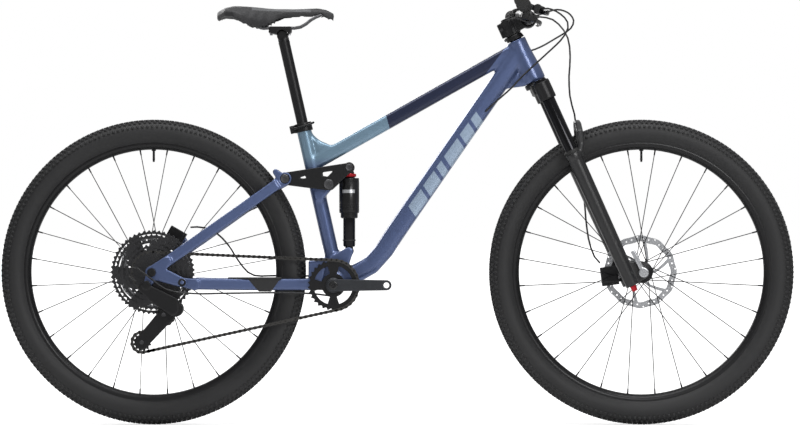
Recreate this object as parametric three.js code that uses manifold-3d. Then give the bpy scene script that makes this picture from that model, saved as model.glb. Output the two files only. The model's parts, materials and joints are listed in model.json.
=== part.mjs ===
// Full-suspension mountain bike, built as separate pieces.
// Millimetres. +X points forward, +Y to the rider's left, +Z up; the drive side faces -Y.
// The origin lies on the ground, midway between the two wheel axles, in the wheel plane.

import * as THREE from 'three';
import { mergeVertices } from 'three/addons/utils/BufferGeometryUtils.js';
import Module from 'manifold-3d';

const wasm = await Module();
wasm.setup();

// ---------------------------------------------------------------- driving dimensions

// Overall geometry
const WHEELBASE = 1192;
const TYRE_RADIUS = 372.7;
const BB_DROP = 31.2; // bottom bracket below the axle line
const BB_BEHIND_MIDDLE = 156;
const HEAD_ANGLE = 24.4; // steering axis from the vertical, degrees
const HEAD_TUBE_LENGTH = 113;
const FORK_LENGTH = 531; // axle to crown race, along the steering axis
const FORK_OFFSET = 45;
const SEAT_ANGLE = 12.7; // seat tube from the vertical, degrees
const SEAT_TUBE_OFFSET = 12.4; // seat tube line in front of the bottom bracket
const SEAT_TUBE_LENGTH = 406;
const CHAINLINE = 50;
const GAP = 0.3; // between pieces that touch
const RUNNING = 0.35; // radial clearance of a shaft in its hole

// Wheels
const TYRE_HALF_WIDTH = 29.5;
const RIM_INNER_RADIUS = 299;
const RIM_OUTER_RADIUS = 317;
const RIM_HALF_WIDTH = 16;
const SPOKES_PER_SIDE = 14;
const SPOKE_RADIUS = 1.1;
const SPOKE_CROSS = 0.86; // how far a spoke leans around the hub, radians
const FRONT_HUB_HALF = 55;
const REAR_HUB_HALF = 74;
const ROTOR_RADIUS = 90;
const ROTOR_THICKNESS = 1.9;
const FRONT_ROTOR_Y = 42;
const REAR_ROTOR_Y = REAR_HUB_HALF - 19;
const AXLE_RADIUS = 7.5;

// Fork
const LEG_SPREAD = 66; // stanchion centre from the wheel plane
const LEG_OFFSET = 9; // stanchion axis in front of the steering axis
const STANCHION_RADIUS = 16;
const LOWER_RADIUS = 19.6;
const CROWN_TOP = -5; // heights along the steering axis from the head tube's lower end
const CROWN_BOTTOM = -53;
const LOWER_TOP = -197;
const LOWER_BOTTOM = -550;
const STEERER_RADIUS = 14.3;
const STEM_HEIGHT = 40;
const STEM_REACH = 47;
const STEM_ABOVE_HEAD_TUBE = 13;

// Cockpit
const BAR_HALF_LENGTH = 370;
const BAR_RADIUS = 11.1;
const BAR_CLAMP_RADIUS = 15.9;
const BAR_RISE = 26.5;
const BAR_SWEEP = 30;
const GRIP_LENGTH = 132;
const GRIP_RADIUS = 14.5;
const LEVER_TILT = 20; // brake levers below the horizontal, degrees
const LEVER_CLAMP_Y = 212;

// Frame tubes
const HEAD_TUBE_TOP_RADIUS = 24.2;
const HEAD_TUBE_BOTTOM_RADIUS = 28.8;
const HEAD_TUBE_BORE = 20.6;
const TOP_TUBE_DEPTH = 34.8;
const TOP_TUBE_WIDTH = 33;
const DOWN_TUBE_DEPTH = 46;
const DOWN_TUBE_WIDTH = 44;
const SEAT_TUBE_RADIUS = 18.3;
const SEATPOST_RADIUS = 13.6;
const BB_SHELL_RADIUS = 22;
const BB_SHELL_HALF = 44;
const SPINDLE_RADIUS = 14;

// Rear suspension pivots, as offsets [forward, up] from the bottom bracket
const MAIN_PIVOT = [-31, 53.3];
const HORST_PIVOT = [-366, 6.9];
const ROCKER_REAR = [-118, 259.1];
const ROCKER_PIVOT = [-11.6, 245.2];
const SHOCK_TOP = [37.8, 286.5];
const SHOCK_BOTTOM = [37.8, 82.6];
const PIVOT_PIN = 6;
const OPEN_PIVOT_HOLE = 11.2; // the open pivots' holes leave room for the linkage's error
const STAY_DEPTH = 26;
const CHAINSTAY_DEPTH = 28.3;
const CHAINSTAY_THICKNESS = 11;
const SHOCK_BODY_RADIUS = 24.4;
const SHOCK_SHAFT_RADIUS = 14.6;

// Drivetrain
const CHAIN_PITCH = 12.7;
const CHAIN_WIDTH = 5.2;
const CHAIN_HEIGHT = 8;
const CHAINRING_TEETH = 30;
const COG_TEETH = [10, 12, 14, 16, 18, 21, 24, 28, 33, 39, 45, 51];
const CHAIN_COG = 6; // place of the cog that carries the chain
const COG_SPACING = 3.7;
const PULLEY_TEETH = 12;
const CRANK_LENGTH = 129;
const CAGE_PIVOT = [59, -88]; // from the rear axle
const GUIDE_PULLEY = [28, -103];
const TENSION_PULLEY = [-25, -170];

// Saddle
const SADDLE_LENGTH = 286;
const SADDLE_WIDTH = 142;
const SADDLE_TAIL_BEHIND = 160; // saddle tail behind the seatpost head
const SADDLE_TOP_ABOVE = 72; // saddle top above the seatpost head
const SEATPOST_ABOVE = 218; // seatpost head above the seat tube's end
const SEATPOST_INSIDE = 112;

// ---------------------------------------------------------------- derived places

const RAD = Math.PI / 180;
const vec = (x, y, z) => new THREE.Vector3(x, y, z);
const REAR_AXLE = vec(-WHEELBASE / 2, 0, TYRE_RADIUS);
const FRONT_AXLE = vec(WHEELBASE / 2, 0, TYRE_RADIUS);
const BB = vec(-BB_BEHIND_MIDDLE, 0, TYRE_RADIUS - BB_DROP);

// A point of the frame given by [forward, up] from the bottom bracket
const fromBB = (pair, y = 0) => vec(BB.x + pair[0], y, BB.z + pair[1]);
const fromRearAxle = (pair, y = 0) => vec(REAR_AXLE.x + pair[0], y, REAR_AXLE.z + pair[1]);

// The steering axis: heights are measured up it from the head tube's lower end
const STEER_UP = vec(-Math.sin(HEAD_ANGLE * RAD), 0, Math.cos(HEAD_ANGLE * RAD));
const STEER_FORWARD = vec(Math.cos(HEAD_ANGLE * RAD), 0, Math.sin(HEAD_ANGLE * RAD));
const HEAD_BOTTOM = FRONT_AXLE.clone()
  .addScaledVector(STEER_FORWARD, -FORK_OFFSET)
  .addScaledVector(STEER_UP, FORK_LENGTH);
const onSteer = (height, forward = 0, y = 0) => HEAD_BOTTOM.clone()
  .addScaledVector(STEER_UP, height)
  .addScaledVector(STEER_FORWARD, forward)
  .add(vec(0, y, 0));

// The seat tube axis: heights are measured up it from level with the bottom bracket
const SEAT_UP = vec(-Math.sin(SEAT_ANGLE * RAD), 0, Math.cos(SEAT_ANGLE * RAD));
const SEAT_FORWARD = vec(Math.cos(SEAT_ANGLE * RAD), 0, Math.sin(SEAT_ANGLE * RAD));
const onSeatTube = (height, forward = 0, y = 0) => fromBB([SEAT_TUBE_OFFSET, 0], y)
  .addScaledVector(SEAT_UP, height)
  .addScaledVector(SEAT_FORWARD, forward);

const SEATPOST_HEAD = onSeatTube(SEAT_TUBE_LENGTH + SEATPOST_ABOVE);
const STEM_MIDDLE = HEAD_TUBE_LENGTH + STEM_ABOVE_HEAD_TUBE + STEM_HEIGHT / 2;
const BAR_CENTRE = onSteer(STEM_MIDDLE, STEM_REACH);
const pitchRadius = (teeth) => CHAIN_PITCH / (2 * Math.sin(Math.PI / teeth));
const cogY = (place) => -CHAINLINE + (place - CHAIN_COG) * COG_SPACING;

// ---------------------------------------------------------------- shape helpers

function solid(geometry) {
  const bare = geometry.clone();
  bare.deleteAttribute('normal');
  bare.deleteAttribute('uv');
  const merged = mergeVertices(bare, 1e-4);
  return new wasm.Manifold(new wasm.Mesh({
    numProp: 3,
    vertProperties: new Float32Array(merged.attributes.position.array),
    triVerts: new Uint32Array(merged.index.array),
  }));
}

function fromSolid(manifold) {
  const mesh = manifold.getMesh();
  const geometry = new THREE.BufferGeometry();
  geometry.setAttribute('position', new THREE.BufferAttribute(mesh.vertProperties, 3));
  geometry.setIndex(new THREE.BufferAttribute(mesh.triVerts, 1));
  return geometry;
}

const join = (first, ...rest) => fromSolid(
  rest.reduce((whole, piece) => whole.add(solid(piece)), solid(first)));
const cut = (first, ...tools) => fromSolid(
  tools.reduce((whole, tool) => whole.subtract(solid(tool)), solid(first)));

// A round bar or cone from a to b
function rod(a, b, radiusA, radiusB = radiusA, sides = 14) {
  const along = b.clone().sub(a);
  const geometry = new THREE.CylinderGeometry(radiusB, radiusA, along.length(), sides);
  geometry.applyQuaternion(
    new THREE.Quaternion().setFromUnitVectors(vec(0, 1, 0), along.clone().normalize()));
  const middle = a.clone().add(b).multiplyScalar(0.5);
  return geometry.translate(middle.x, middle.y, middle.z);
}

// A round bar across the bike, centred on the place given, between two lateral positions
const crossRod = (place, y0, y1, radius, sides = 12) => rod(
  vec(place.x, y0, place.z), vec(place.x, y1, place.z), radius, radius, sides);

// A flat plate seen from the side: an outline of [x, z] pairs or a Shape, between two laterals
function plate(outline, y0, y1, curveSegments = 6) {
  const shape = outline instanceof THREE.Shape
    ? outline
    : new THREE.Shape(outline.map(([x, z]) => new THREE.Vector2(x, z)));
  const options = { depth: y1 - y0, bevelEnabled: false, curveSegments };
  return new THREE.ExtrudeGeometry(shape, options).rotateX(Math.PI / 2).translate(0, y1, 0);
}

// The taut outline around circles [x, z, radius], as a belt would lie round them
function strapShape(circles) {
  const sides = 16;
  const spots = circles.flatMap(([x, z, radius]) => Array.from({ length: sides }, (_, i) => {
    const angle = ((i + 0.5) / sides) * Math.PI * 2;
    return [x + radius * Math.cos(angle), z + radius * Math.sin(angle)];
  }));
  spots.sort((p, q) => p[0] - q[0] || p[1] - q[1]);
  const chainOf = (list) => list.reduce((chain, spot) => {
    while (chain.length > 1 && turnOf(chain.at(-2), chain.at(-1), spot) < 0.05) chain.pop();
    return [...chain, spot];
  }, []);
  const lower = chainOf(spots);
  const upper = chainOf([...spots].reverse());
  return [...lower.slice(0, -1), ...upper.slice(0, -1)];
}

// Twice the signed area of the triangle pqr: positive for a left turn
const turnOf = (p, q, r) => (q[0] - p[0]) * (r[1] - p[1]) - (q[1] - p[1]) * (r[0] - p[0]);

// A section with rounded corners for extruded tubes
function roundedSection(width, depth, corner) {
  const w = width / 2 - corner;
  const d = depth / 2 - corner;
  const shape = new THREE.Shape();
  shape.absarc(w, d, corner, 0, Math.PI / 2, false);
  shape.absarc(-w, d, corner, Math.PI / 2, Math.PI, false);
  shape.absarc(-w, -d, corner, Math.PI, Math.PI * 1.5, false);
  shape.absarc(w, -d, corner, Math.PI * 1.5, Math.PI * 2, false);
  return shape;
}

function roundSection(radius, sides) {
  const points = Array.from({ length: sides }, (_, i) => {
    const angle = (i / sides) * Math.PI * 2;
    return new THREE.Vector2(radius * Math.cos(angle), radius * Math.sin(angle));
  });
  return new THREE.Shape(points);
}

// A tube of any section along a smooth curve through the points
function tube(points, section, steps, curveSegments = 2) {
  const path = points.length === 2
    ? new THREE.LineCurve3(points[0], points[1])
    : new THREE.CatmullRomCurve3(points, false, 'centripetal');
  return new THREE.ExtrudeGeometry(section, { steps, curveSegments, extrudePath: path });
}

// A turned piece whose axis runs across the bike: the profile holds [radius, y] pairs
function turnedAcross(profile, place, segments) {
  const points = profile.map(([radius, y]) => new THREE.Vector2(radius, y));
  return new THREE.LatheGeometry(points, segments).translate(place.x, place.y, place.z);
}

// A turned piece on the steering axis: the profile holds [radius, height] pairs
function turnedOnSteer(profile, segments) {
  const points = profile.map(([radius, height]) => new THREE.Vector2(radius, height));
  const geometry = new THREE.LatheGeometry(points, segments);
  geometry.rotateX(Math.PI / 2).rotateY(-HEAD_ANGLE * RAD);
  return geometry.translate(HEAD_BOTTOM.x, HEAD_BOTTOM.y, HEAD_BOTTOM.z);
}

// ---------------------------------------------------------------- materials and the group

const bike = new THREE.Group();
const finish = (color, roughness, metalness) => new THREE.MeshStandardMaterial(
  { color, roughness, metalness });
const PAINT = finish(0x5a6c9e, 0.32, 0.55);
const BLACK_METAL = finish(0x1b1c1f, 0.42, 0.7);
const BLACK_PLASTIC = finish(0x17181a, 0.6, 0);
const RUBBER = finish(0x1c1c1d, 0.85, 0);
const STEEL = finish(0x9a9da2, 0.35, 0.95);
const DARK_STEEL = finish(0x3c3d40, 0.4, 0.9);
const RED = finish(0xb01525, 0.35, 0.6);
const SADDLE_COVER = finish(0x26272a, 0.7, 0);

function place(name, geometry, material) {
  const mesh = new THREE.Mesh(geometry, material);
  mesh.name = name;
  bike.add(mesh);
  return mesh;
}

// A plate on one side of the bicycle, between two distances from its middle plane
function sidePlate(outline, side, inner, outer, curveSegments = 6) {
  const [low, high] = side > 0 ? [inner, outer] : [-outer, -inner];
  return plate(outline, low, high, curveSegments);
}

// ---------------------------------------------------------------- front frame

function headTube() {
  const flare = 30;
  return turnedOnSteer([
    [HEAD_TUBE_BORE, 0],
    [HEAD_TUBE_BOTTOM_RADIUS, 0],
    [HEAD_TUBE_BOTTOM_RADIUS, flare],
    [HEAD_TUBE_TOP_RADIUS, HEAD_TUBE_LENGTH - flare],
    [HEAD_TUBE_TOP_RADIUS, HEAD_TUBE_LENGTH],
    [HEAD_TUBE_BORE, HEAD_TUBE_LENGTH],
    [HEAD_TUBE_BORE, 0],
  ], 24);
}

// The head tube's outside with its gap, as a cutter for the tubes welded to it
const headCutter = turnedOnSteer([
  [0, -40],
  [HEAD_TUBE_BOTTOM_RADIUS + GAP, -40],
  [HEAD_TUBE_BOTTOM_RADIUS + GAP, 30],
  [HEAD_TUBE_TOP_RADIUS + GAP, HEAD_TUBE_LENGTH - 30],
  [HEAD_TUBE_TOP_RADIUS + GAP, HEAD_TUBE_LENGTH + 40],
  [0, HEAD_TUBE_LENGTH + 40],
], 24);
const seatCutter = rod(
  onSeatTube(-10), onSeatTube(SEAT_TUBE_LENGTH + 20),
  SEAT_TUBE_RADIUS + GAP, SEAT_TUBE_RADIUS + GAP, 24);
const bbCutter = crossRod(BB, -60, 60, BB_SHELL_RADIUS + GAP, 24);

const TOP_TUBE_REAR = onSeatTube(301);
const TOP_TUBE_FRONT = onSteer(91);

function topTube() {
  const body = tube(
    [TOP_TUBE_REAR, TOP_TUBE_FRONT],
    roundedSection(TOP_TUBE_WIDTH, TOP_TUBE_DEPTH, 9), 1, 3);
  return cut(body, headCutter, seatCutter);
}

// The down tube runs straight from the head tube and bends back into the bottom bracket
const DOWN_TUBE_LINE = [
  onSteer(82),
  fromBB([131, 97]),
  fromBB([113, 68]),
  fromBB([88, 46]),
  fromBB([58, 29]),
  fromBB([10, 10]),
];

// The room that the top tube takes where other pieces are welded to it
const topTubeRoom = tube(
  [TOP_TUBE_REAR, TOP_TUBE_FRONT],
  roundedSection(TOP_TUBE_WIDTH + 2 * GAP, TOP_TUBE_DEPTH + 2 * GAP, 9), 1, 2);

function downTube() {
  const body = tube(
    DOWN_TUBE_LINE, roundedSection(DOWN_TUBE_WIDTH, DOWN_TUBE_DEPTH, 12), 16, 1);
  const low = onSteer(6, -HEAD_TUBE_BOTTOM_RADIUS);
  const gusset = plate(strapShape([
    [low.x, low.z, 5], [low.x + 4, low.z + 14, 8], [low.x - 46, low.z - 7, 4], [low.x - 50, low.z + 25, 8],
  ]), -14, 14);
  return cut(
    join(body, gusset), headCutter, topTubeRoom, bbCutter, plate(forgingOutline(GAP), -60, 60));
}

// The seat tube carries the gusset to the top tube and the lug for the rocker's pivot
const SEAT_TUBE_START = 62;
const GUSSET_FOOT = 350;
const CLAMP_RADIUS = 22;
const CLAMP_HEIGHT = 22;

function seatTube() {
  const body = rod(
    onSeatTube(SEAT_TUBE_START), onSeatTube(SEAT_TUBE_LENGTH),
    SEAT_TUBE_RADIUS, SEAT_TUBE_RADIUS, 24);
  const pivot = fromBB(ROCKER_PIVOT);
  const root = onSeatTube(228, 4);
  const lug = plate(strapShape([[pivot.x, pivot.z, 13], [root.x, root.z - 8, 10], [root.x, root.z, 14]]),
    -20, 20, 8);
  const gussetTop = onSeatTube(SEAT_TUBE_LENGTH - CLAMP_HEIGHT - 4, SEAT_TUBE_RADIUS - 3);
  const gussetRoot = onSeatTube(GUSSET_FOOT, SEAT_TUBE_RADIUS - 3);
  const gussetEnd = onSeatTube(GUSSET_FOOT - 6, SEAT_TUBE_RADIUS + 30);
  const gusset = new THREE.Shape();
  gusset.moveTo(gussetTop.x, gussetTop.z);
  gusset.lineTo(gussetRoot.x, gussetRoot.z - 16);
  gusset.lineTo(gussetEnd.x, gussetEnd.z - 6);
  gusset.lineTo(gussetEnd.x, gussetEnd.z);
  gusset.quadraticCurveTo(gussetRoot.x + 14, gussetRoot.z + 4, gussetTop.x, gussetTop.z);
  const bore = rod(
    onSeatTube(SEAT_TUBE_LENGTH - 300), onSeatTube(SEAT_TUBE_LENGTH + 10),
    SEATPOST_RADIUS + RUNNING, SEATPOST_RADIUS + RUNNING, 24);
  const pinHole = crossRod(pivot, -30, 30, PIVOT_PIN + RUNNING);
  const clearOfTopTube = cut(plate(gusset, -9, 9, 4), topTubeRoom);
  return cut(join(body, lug, clearOfTopTube), bore, pinHole, bbCutter);
}

// The bottom bracket forging holds the shell, the main pivot's lug and the shock's lower ears
const MAIN_LUG_HALF = 25.5;
const SHOCK_EYE_HALF = 12;

function forgingOutline(extra) {
  const eye = fromBB(SHOCK_BOTTOM);
  return strapShape([
    [eye.x, eye.z, 11 + extra], [BB.x - 4, BB.z + 56, 12 + extra],
    [BB.x, BB.z + 10, 16 + extra], [BB.x + 16, BB.z + 14, 8 + extra],
  ]);
}

function bottomBracketShell() {
  const main = fromBB(MAIN_PIVOT);
  const eye = fromBB(SHOCK_BOTTOM);
  const shell = crossRod(BB, -BB_SHELL_HALF, BB_SHELL_HALF, BB_SHELL_RADIUS, 18);
  const lug = plate(
    strapShape([[main.x, main.z, 14], [BB.x - 6, BB.z + 4, 14], [BB.x + 4, BB.z + 18, 14]]),
    -MAIN_LUG_HALF, MAIN_LUG_HALF);
  const ears = plate(forgingOutline(0), -DOWN_TUBE_WIDTH / 2 - 0.5, DOWN_TUBE_WIDTH / 2 + 0.5);
  const eyeSlot = plate(
    strapShape([
      [eye.x, eye.z, 19], [eye.x + 40, eye.z, 19], [eye.x + 40, eye.z + 60, 19], [eye.x - 4, eye.z + 60, 19],
    ]),
    -SHOCK_EYE_HALF - GAP, SHOCK_EYE_HALF + GAP);
  const pin = crossRod(eye, -20, 20, 5);
  const seatRoom = rod(
    onSeatTube(SEAT_TUBE_START - GAP), onSeatTube(SEAT_TUBE_LENGTH),
    SEAT_TUBE_RADIUS + GAP, SEAT_TUBE_RADIUS + GAP, 18);
  const spindleBore = crossRod(BB, -60, 60, SPINDLE_RADIUS + RUNNING, 18);
  const pivotHole = crossRod(main, -60, 60, PIVOT_PIN + 2 + RUNNING);
  const forging = join(cut(join(shell, lug, ears), eyeSlot), pin);
  return cut(forging, seatRoom, spindleBore, pivotHole);
}

function frontFrame() {
  place('head_tube', headTube(), PAINT);
  place('top_tube', topTube(), PAINT);
  place('down_tube', downTube(), PAINT);
  place('seat_tube', seatTube(), PAINT);
  place('bottom_bracket_shell', bottomBracketShell(), PAINT);
}

// ---------------------------------------------------------------- seatpost and saddle

function seatClamp() {
  const low = SEAT_TUBE_LENGTH - CLAMP_HEIGHT;
  const collar = rod(onSeatTube(low), onSeatTube(SEAT_TUBE_LENGTH - 1), CLAMP_RADIUS, CLAMP_RADIUS, 24);
  const ear = plate([
    [-CLAMP_RADIUS - 11, low + 1],
    [-CLAMP_RADIUS + 4, low + 1],
    [-CLAMP_RADIUS + 4, SEAT_TUBE_LENGTH - 2],
    [-CLAMP_RADIUS - 11, SEAT_TUBE_LENGTH - 2],
  ], -11, 11);
  ear.rotateY(-SEAT_ANGLE * RAD).translate(BB.x + SEAT_TUBE_OFFSET, 0, BB.z);
  const hole = rod(
    onSeatTube(low - 5), onSeatTube(SEAT_TUBE_LENGTH + 5),
    SEAT_TUBE_RADIUS + GAP, SEAT_TUBE_RADIUS + GAP, 24);
  return cut(join(collar, ear), hole);
}

// The quick-release lever lies around the front of the collar and turns on the ear's bolt
const CLAMP_BOLT_FORWARD = -CLAMP_RADIUS - 5.5;
const CLAMP_CAM_Y = 16.6; // the lever's cam turns here, just outside the collar's ear

function seatClampLever() {
  const height = SEAT_TUBE_LENGTH - CLAMP_HEIGHT / 2;
  const barrel = rod(
    onSeatTube(height - 5.5, CLAMP_BOLT_FORWARD, -CLAMP_CAM_Y),
    onSeatTube(height + 5.5, CLAMP_BOLT_FORWARD, -CLAMP_CAM_Y), 4.8);
  const blade = tube([
    onSeatTube(height, CLAMP_BOLT_FORWARD, -CLAMP_CAM_Y - 1.5),
    onSeatTube(height, -CLAMP_RADIUS + 4, -25),
    onSeatTube(height + 1, 0, -28),
    onSeatTube(height + 3, 16, -25),
    onSeatTube(height + 5, 27, -16),
  ], roundedSection(5, 10, 2), 6, 1);
  return join(barrel, blade);
}

const POST_HEAD_RADIUS = 14;

// The post ends in a round head across the bike, on which the saddle's clamp turns
function seatpost() {
  const shaft = rod(
    onSeatTube(SEAT_TUBE_LENGTH - SEATPOST_INSIDE), onSeatTube(SEAT_TUBE_LENGTH + SEATPOST_ABOVE - 7),
    SEATPOST_RADIUS, SEATPOST_RADIUS, 20);
  return join(shaft, crossRod(SEATPOST_HEAD, -12, 12, POST_HEAD_RADIUS, 20));
}

const RAIL_Y = 22;
const RAIL_RADIUS = 3.5;
const RAIL_HEIGHT = 19;

// The clamp cradles the rails and tilts about the post's head for the saddle's angle
function saddleClamp() {
  const head = SEATPOST_HEAD;
  const block = plate([
    [head.x - 34, head.z + 7], [head.x - 16, head.z + 3], [head.x + 16, head.z + 3],
    [head.x + 22, head.z + 9], [head.x + 22, head.z + 22], [head.x - 32, head.z + 22],
  ], -27, 27);
  const railRoom = [-1, 1].map((side) => rod(
    vec(head.x - 60, side * RAIL_Y, head.z + RAIL_HEIGHT),
    vec(head.x + 60, side * RAIL_Y, head.z + RAIL_HEIGHT), RAIL_RADIUS + 1, RAIL_RADIUS + 1, 10));
  const headRoom = crossRod(head, -30, 30, POST_HEAD_RADIUS + 2 * GAP, 20);
  return cut(block, ...railRoom, headRoom);
}

// One wire: two rails held in the shell at the nose and at the tail
function saddleRails(radius = RAIL_RADIUS) {
  const head = SEATPOST_HEAD;
  const side = (s) => [
    vec(head.x + 96, s * 12, head.z + 51),
    vec(head.x + 74, s * 16, head.z + 42),
    vec(head.x + 50, s * 21, head.z + 24),
    vec(head.x + 34, s * RAIL_Y, head.z + RAIL_HEIGHT),
    vec(head.x + 14, s * RAIL_Y, head.z + RAIL_HEIGHT),
    vec(head.x - 34, s * RAIL_Y, head.z + RAIL_HEIGHT),
    vec(head.x - 54, s * RAIL_Y, head.z + RAIL_HEIGHT),
    vec(head.x - 76, s * 28, head.z + 30),
    vec(head.x - 98, s * 36, head.z + 51),
  ];
  const section = roundSection(radius, 6);
  const nose = rod(
    vec(head.x + 93, -13, head.z + 50), vec(head.x + 93, 13, head.z + 50), radius, radius, 6);
  return join(tube(side(-1), section, 14), tube(side(1), section, 14), nose);
}

// The saddle's half width along its length, from 0 at the tail to 1 at the nose
function saddleHalfWidth(t) {
  const wings = (SADDLE_WIDTH / 2) * Math.exp(-(((t - 0.16) / 0.27) ** 2));
  const nose = 19 * Math.sqrt(Math.max(0, 1 - ((t - 0.45) / 0.56) ** 2));
  const tail = Math.sqrt(Math.min(1, t / 0.1 + 0.12));
  return Math.max(wings * tail, nose * Math.min(1, tail + 0.2), 6);
}

// A padded shell, high in the middle, whose skirts hang beside the clamp
function saddle() {
  const geometry = new THREE.BoxGeometry(1, 1, 1, 14, 6, 1);
  const position = geometry.attributes.position;
  const tailX = SEATPOST_HEAD.x - SADDLE_TAIL_BEHIND;
  const topZ = SEATPOST_HEAD.z + SADDLE_TOP_ABOVE;
  for (let i = 0; i < position.count; i += 1) {
    const t = position.getX(i) + 0.5;
    const across = position.getY(i) * 2;
    const isTop = position.getZ(i) > 0;
    const tailDrop = 14 * Math.max(0, 1 - t / 0.14) ** 2;
    const noseDrop = 5 * t + 12 * Math.max(0, (t - 0.86) / 0.14) ** 2;
    const skirt = 34 * Math.exp(-(((t - 0.36) / 0.17) ** 2)) * across ** 4;
    const crown = topZ - tailDrop - noseDrop - 10 * across ** 2;
    const z = isTop ? crown - skirt * 0.75 : crown - 14 - skirt;
    position.setXYZ(i, tailX + t * SADDLE_LENGTH, across * saddleHalfWidth(t), z);
  }
  return cut(geometry, saddleRails(RAIL_RADIUS + GAP));
}

function seating() {
  place('seat_clamp', seatClamp(), BLACK_METAL);
  place('seat_clamp_lever', seatClampLever(), BLACK_METAL);
  place('seatpost', seatpost(), BLACK_METAL);
  place('saddle_clamp', saddleClamp(), BLACK_METAL);
  place('saddle_rails', saddleRails(), BLACK_METAL);
  place('saddle', saddle(), SADDLE_COVER);
}

// ---------------------------------------------------------------- fork

const STEERER_TOP = HEAD_TUBE_LENGTH + STEM_ABOVE_HEAD_TUBE + STEM_HEIGHT + 1;
const CROWN_BRIDGE_BOTTOM = -31;

function forkCrown() {
  const steerer = turnedOnSteer([
    [0, CROWN_TOP - 8],
    [HEAD_TUBE_BORE - 0.8, CROWN_TOP - 8],
    [HEAD_TUBE_BORE - 0.8, 20],
    [STEERER_RADIUS, 40],
    [STEERER_RADIUS, STEERER_TOP],
    [0, STEERER_TOP],
  ], 16);
  const spacers = turnedOnSteer([
    [STEERER_RADIUS - 1, HEAD_TUBE_LENGTH + GAP],
    [HEAD_TUBE_TOP_RADIUS - 1, HEAD_TUBE_LENGTH + GAP],
    [STEERER_RADIUS + 5, HEAD_TUBE_LENGTH + STEM_ABOVE_HEAD_TUBE - GAP],
    [STEERER_RADIUS - 1, HEAD_TUBE_LENGTH + STEM_ABOVE_HEAD_TUBE - GAP],
    [STEERER_RADIUS - 1, HEAD_TUBE_LENGTH + GAP],
  ], 16);
  const race = turnedOnSteer([
    [0, CROWN_TOP - 8], [HEAD_TUBE_BOTTOM_RADIUS - 1, CROWN_TOP - 8],
    [HEAD_TUBE_BOTTOM_RADIUS - 1, -GAP], [0, -GAP],
  ], 16);
  const bridge = new THREE.BoxGeometry(46, 2 * LEG_SPREAD, CROWN_TOP - CROWN_BRIDGE_BOTTOM);
  bridge.rotateY(-HEAD_ANGLE * RAD);
  const middle = onSteer((CROWN_TOP + CROWN_BRIDGE_BOTTOM) / 2, LEG_OFFSET - 3);
  bridge.translate(middle.x, middle.y, middle.z);
  const sleeve = (side, radius, low, high) => rod(
    onSteer(low, LEG_OFFSET, side * LEG_SPREAD), onSteer(high, LEG_OFFSET, side * LEG_SPREAD),
    radius, radius, 16);
  const sleeves = [-1, 1].map((side) => sleeve(side, STANCHION_RADIUS + 5.5, CROWN_BOTTOM, CROWN_TOP - 3));
  const bores = [-1, 1].map(
    (side) => sleeve(side, STANCHION_RADIUS + GAP, CROWN_BOTTOM - 10, CROWN_TOP + 12));
  return cut(join(steerer, spacers, race, bridge, ...sleeves), ...bores);
}

const STANCHION_INSIDE = 110; // overlap with the lowers at full extension

function stanchion(side) {
  const tubeBody = rod(
    onSteer(LOWER_TOP - STANCHION_INSIDE, LEG_OFFSET, side * LEG_SPREAD),
    onSteer(CROWN_TOP + 4, LEG_OFFSET, side * LEG_SPREAD), STANCHION_RADIUS, STANCHION_RADIUS, 20);
  return tubeBody;
}

const FORK_TRAVEL = 120;

function forkLowers() {
  const leg = (side, radiusTop, radiusBottom, low, high) => rod(
    onSteer(low, LEG_OFFSET, side * LEG_SPREAD), onSteer(high, LEG_OFFSET, side * LEG_SPREAD),
    radiusBottom, radiusTop, 16);
  const sides = [-1, 1];
  const legs = sides.map((side) => leg(side, LOWER_RADIUS, LOWER_RADIUS - 2.5, LOWER_BOTTOM, LOWER_TOP));
  const collars = sides.map(
    (side) => leg(side, LOWER_RADIUS + 1.5, LOWER_RADIUS + 1.5, LOWER_TOP - 14, LOWER_TOP));
  const bores = sides.map((side) => leg(side, STANCHION_RADIUS + RUNNING, STANCHION_RADIUS + RUNNING,
    LOWER_TOP - STANCHION_INSIDE - FORK_TRAVEL - 12, LOWER_TOP + 90));
  const archSide = (s) => [
    onSteer(LOWER_TOP - 12, LEG_OFFSET + 12, s * LEG_SPREAD),
    onSteer(LOWER_TOP + 16, LEG_OFFSET + 29, s * (LEG_SPREAD - 2)),
    onSteer(LOWER_TOP + 48, LEG_OFFSET + 39, s * (LEG_SPREAD - 22)),
  ];
  const archTop = onSteer(LOWER_TOP + 60, LEG_OFFSET + 42);
  const arch = tube(
    [...archSide(-1), archTop, ...archSide(1).reverse()], roundedSection(22, 17, 5), 8, 1);
  const dropouts = sides.map((side) => {
    const inner = FRONT_HUB_HALF + GAP;
    const outer = LEG_SPREAD + 10;
    const axleBoss = [FRONT_AXLE.x, FRONT_AXLE.z, 15];
    const legTop = onSteer(LOWER_BOTTOM + 62, LEG_OFFSET);
    const legLow = onSteer(LOWER_BOTTOM + 10, LEG_OFFSET);
    const outline = strapShape([axleBoss, [legTop.x, legTop.z, 12], [legLow.x, legLow.z, 10]]);
    return sidePlate(outline, side, inner, outer);
  });
  const axleHole = crossRod(FRONT_AXLE, -100, 100, AXLE_RADIUS + RUNNING);
  return cut(join(...legs, ...collars, arch, ...dropouts), ...bores, axleHole);
}

// The through axle turns in the lowers; its lever lies against the back of the drive-side leg
function frontAxle() {
  const head = LEG_SPREAD + 11;
  const shaft = crossRod(FRONT_AXLE, -head - 8, LEG_SPREAD + 12, AXLE_RADIUS, 12);
  const cap = crossRod(FRONT_AXLE, -head - 16, -head, 12, 14);
  const lever = tube([
    vec(FRONT_AXLE.x, -head - 12, FRONT_AXLE.z),
    vec(FRONT_AXLE.x - 12, -head - 13, FRONT_AXLE.z + 24),
    vec(FRONT_AXLE.x - 27, -head - 13, FRONT_AXLE.z + 53),
  ], roundedSection(6, 12, 2.5), 4, 1);
  return join(shaft, cap, lever);
}

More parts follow.
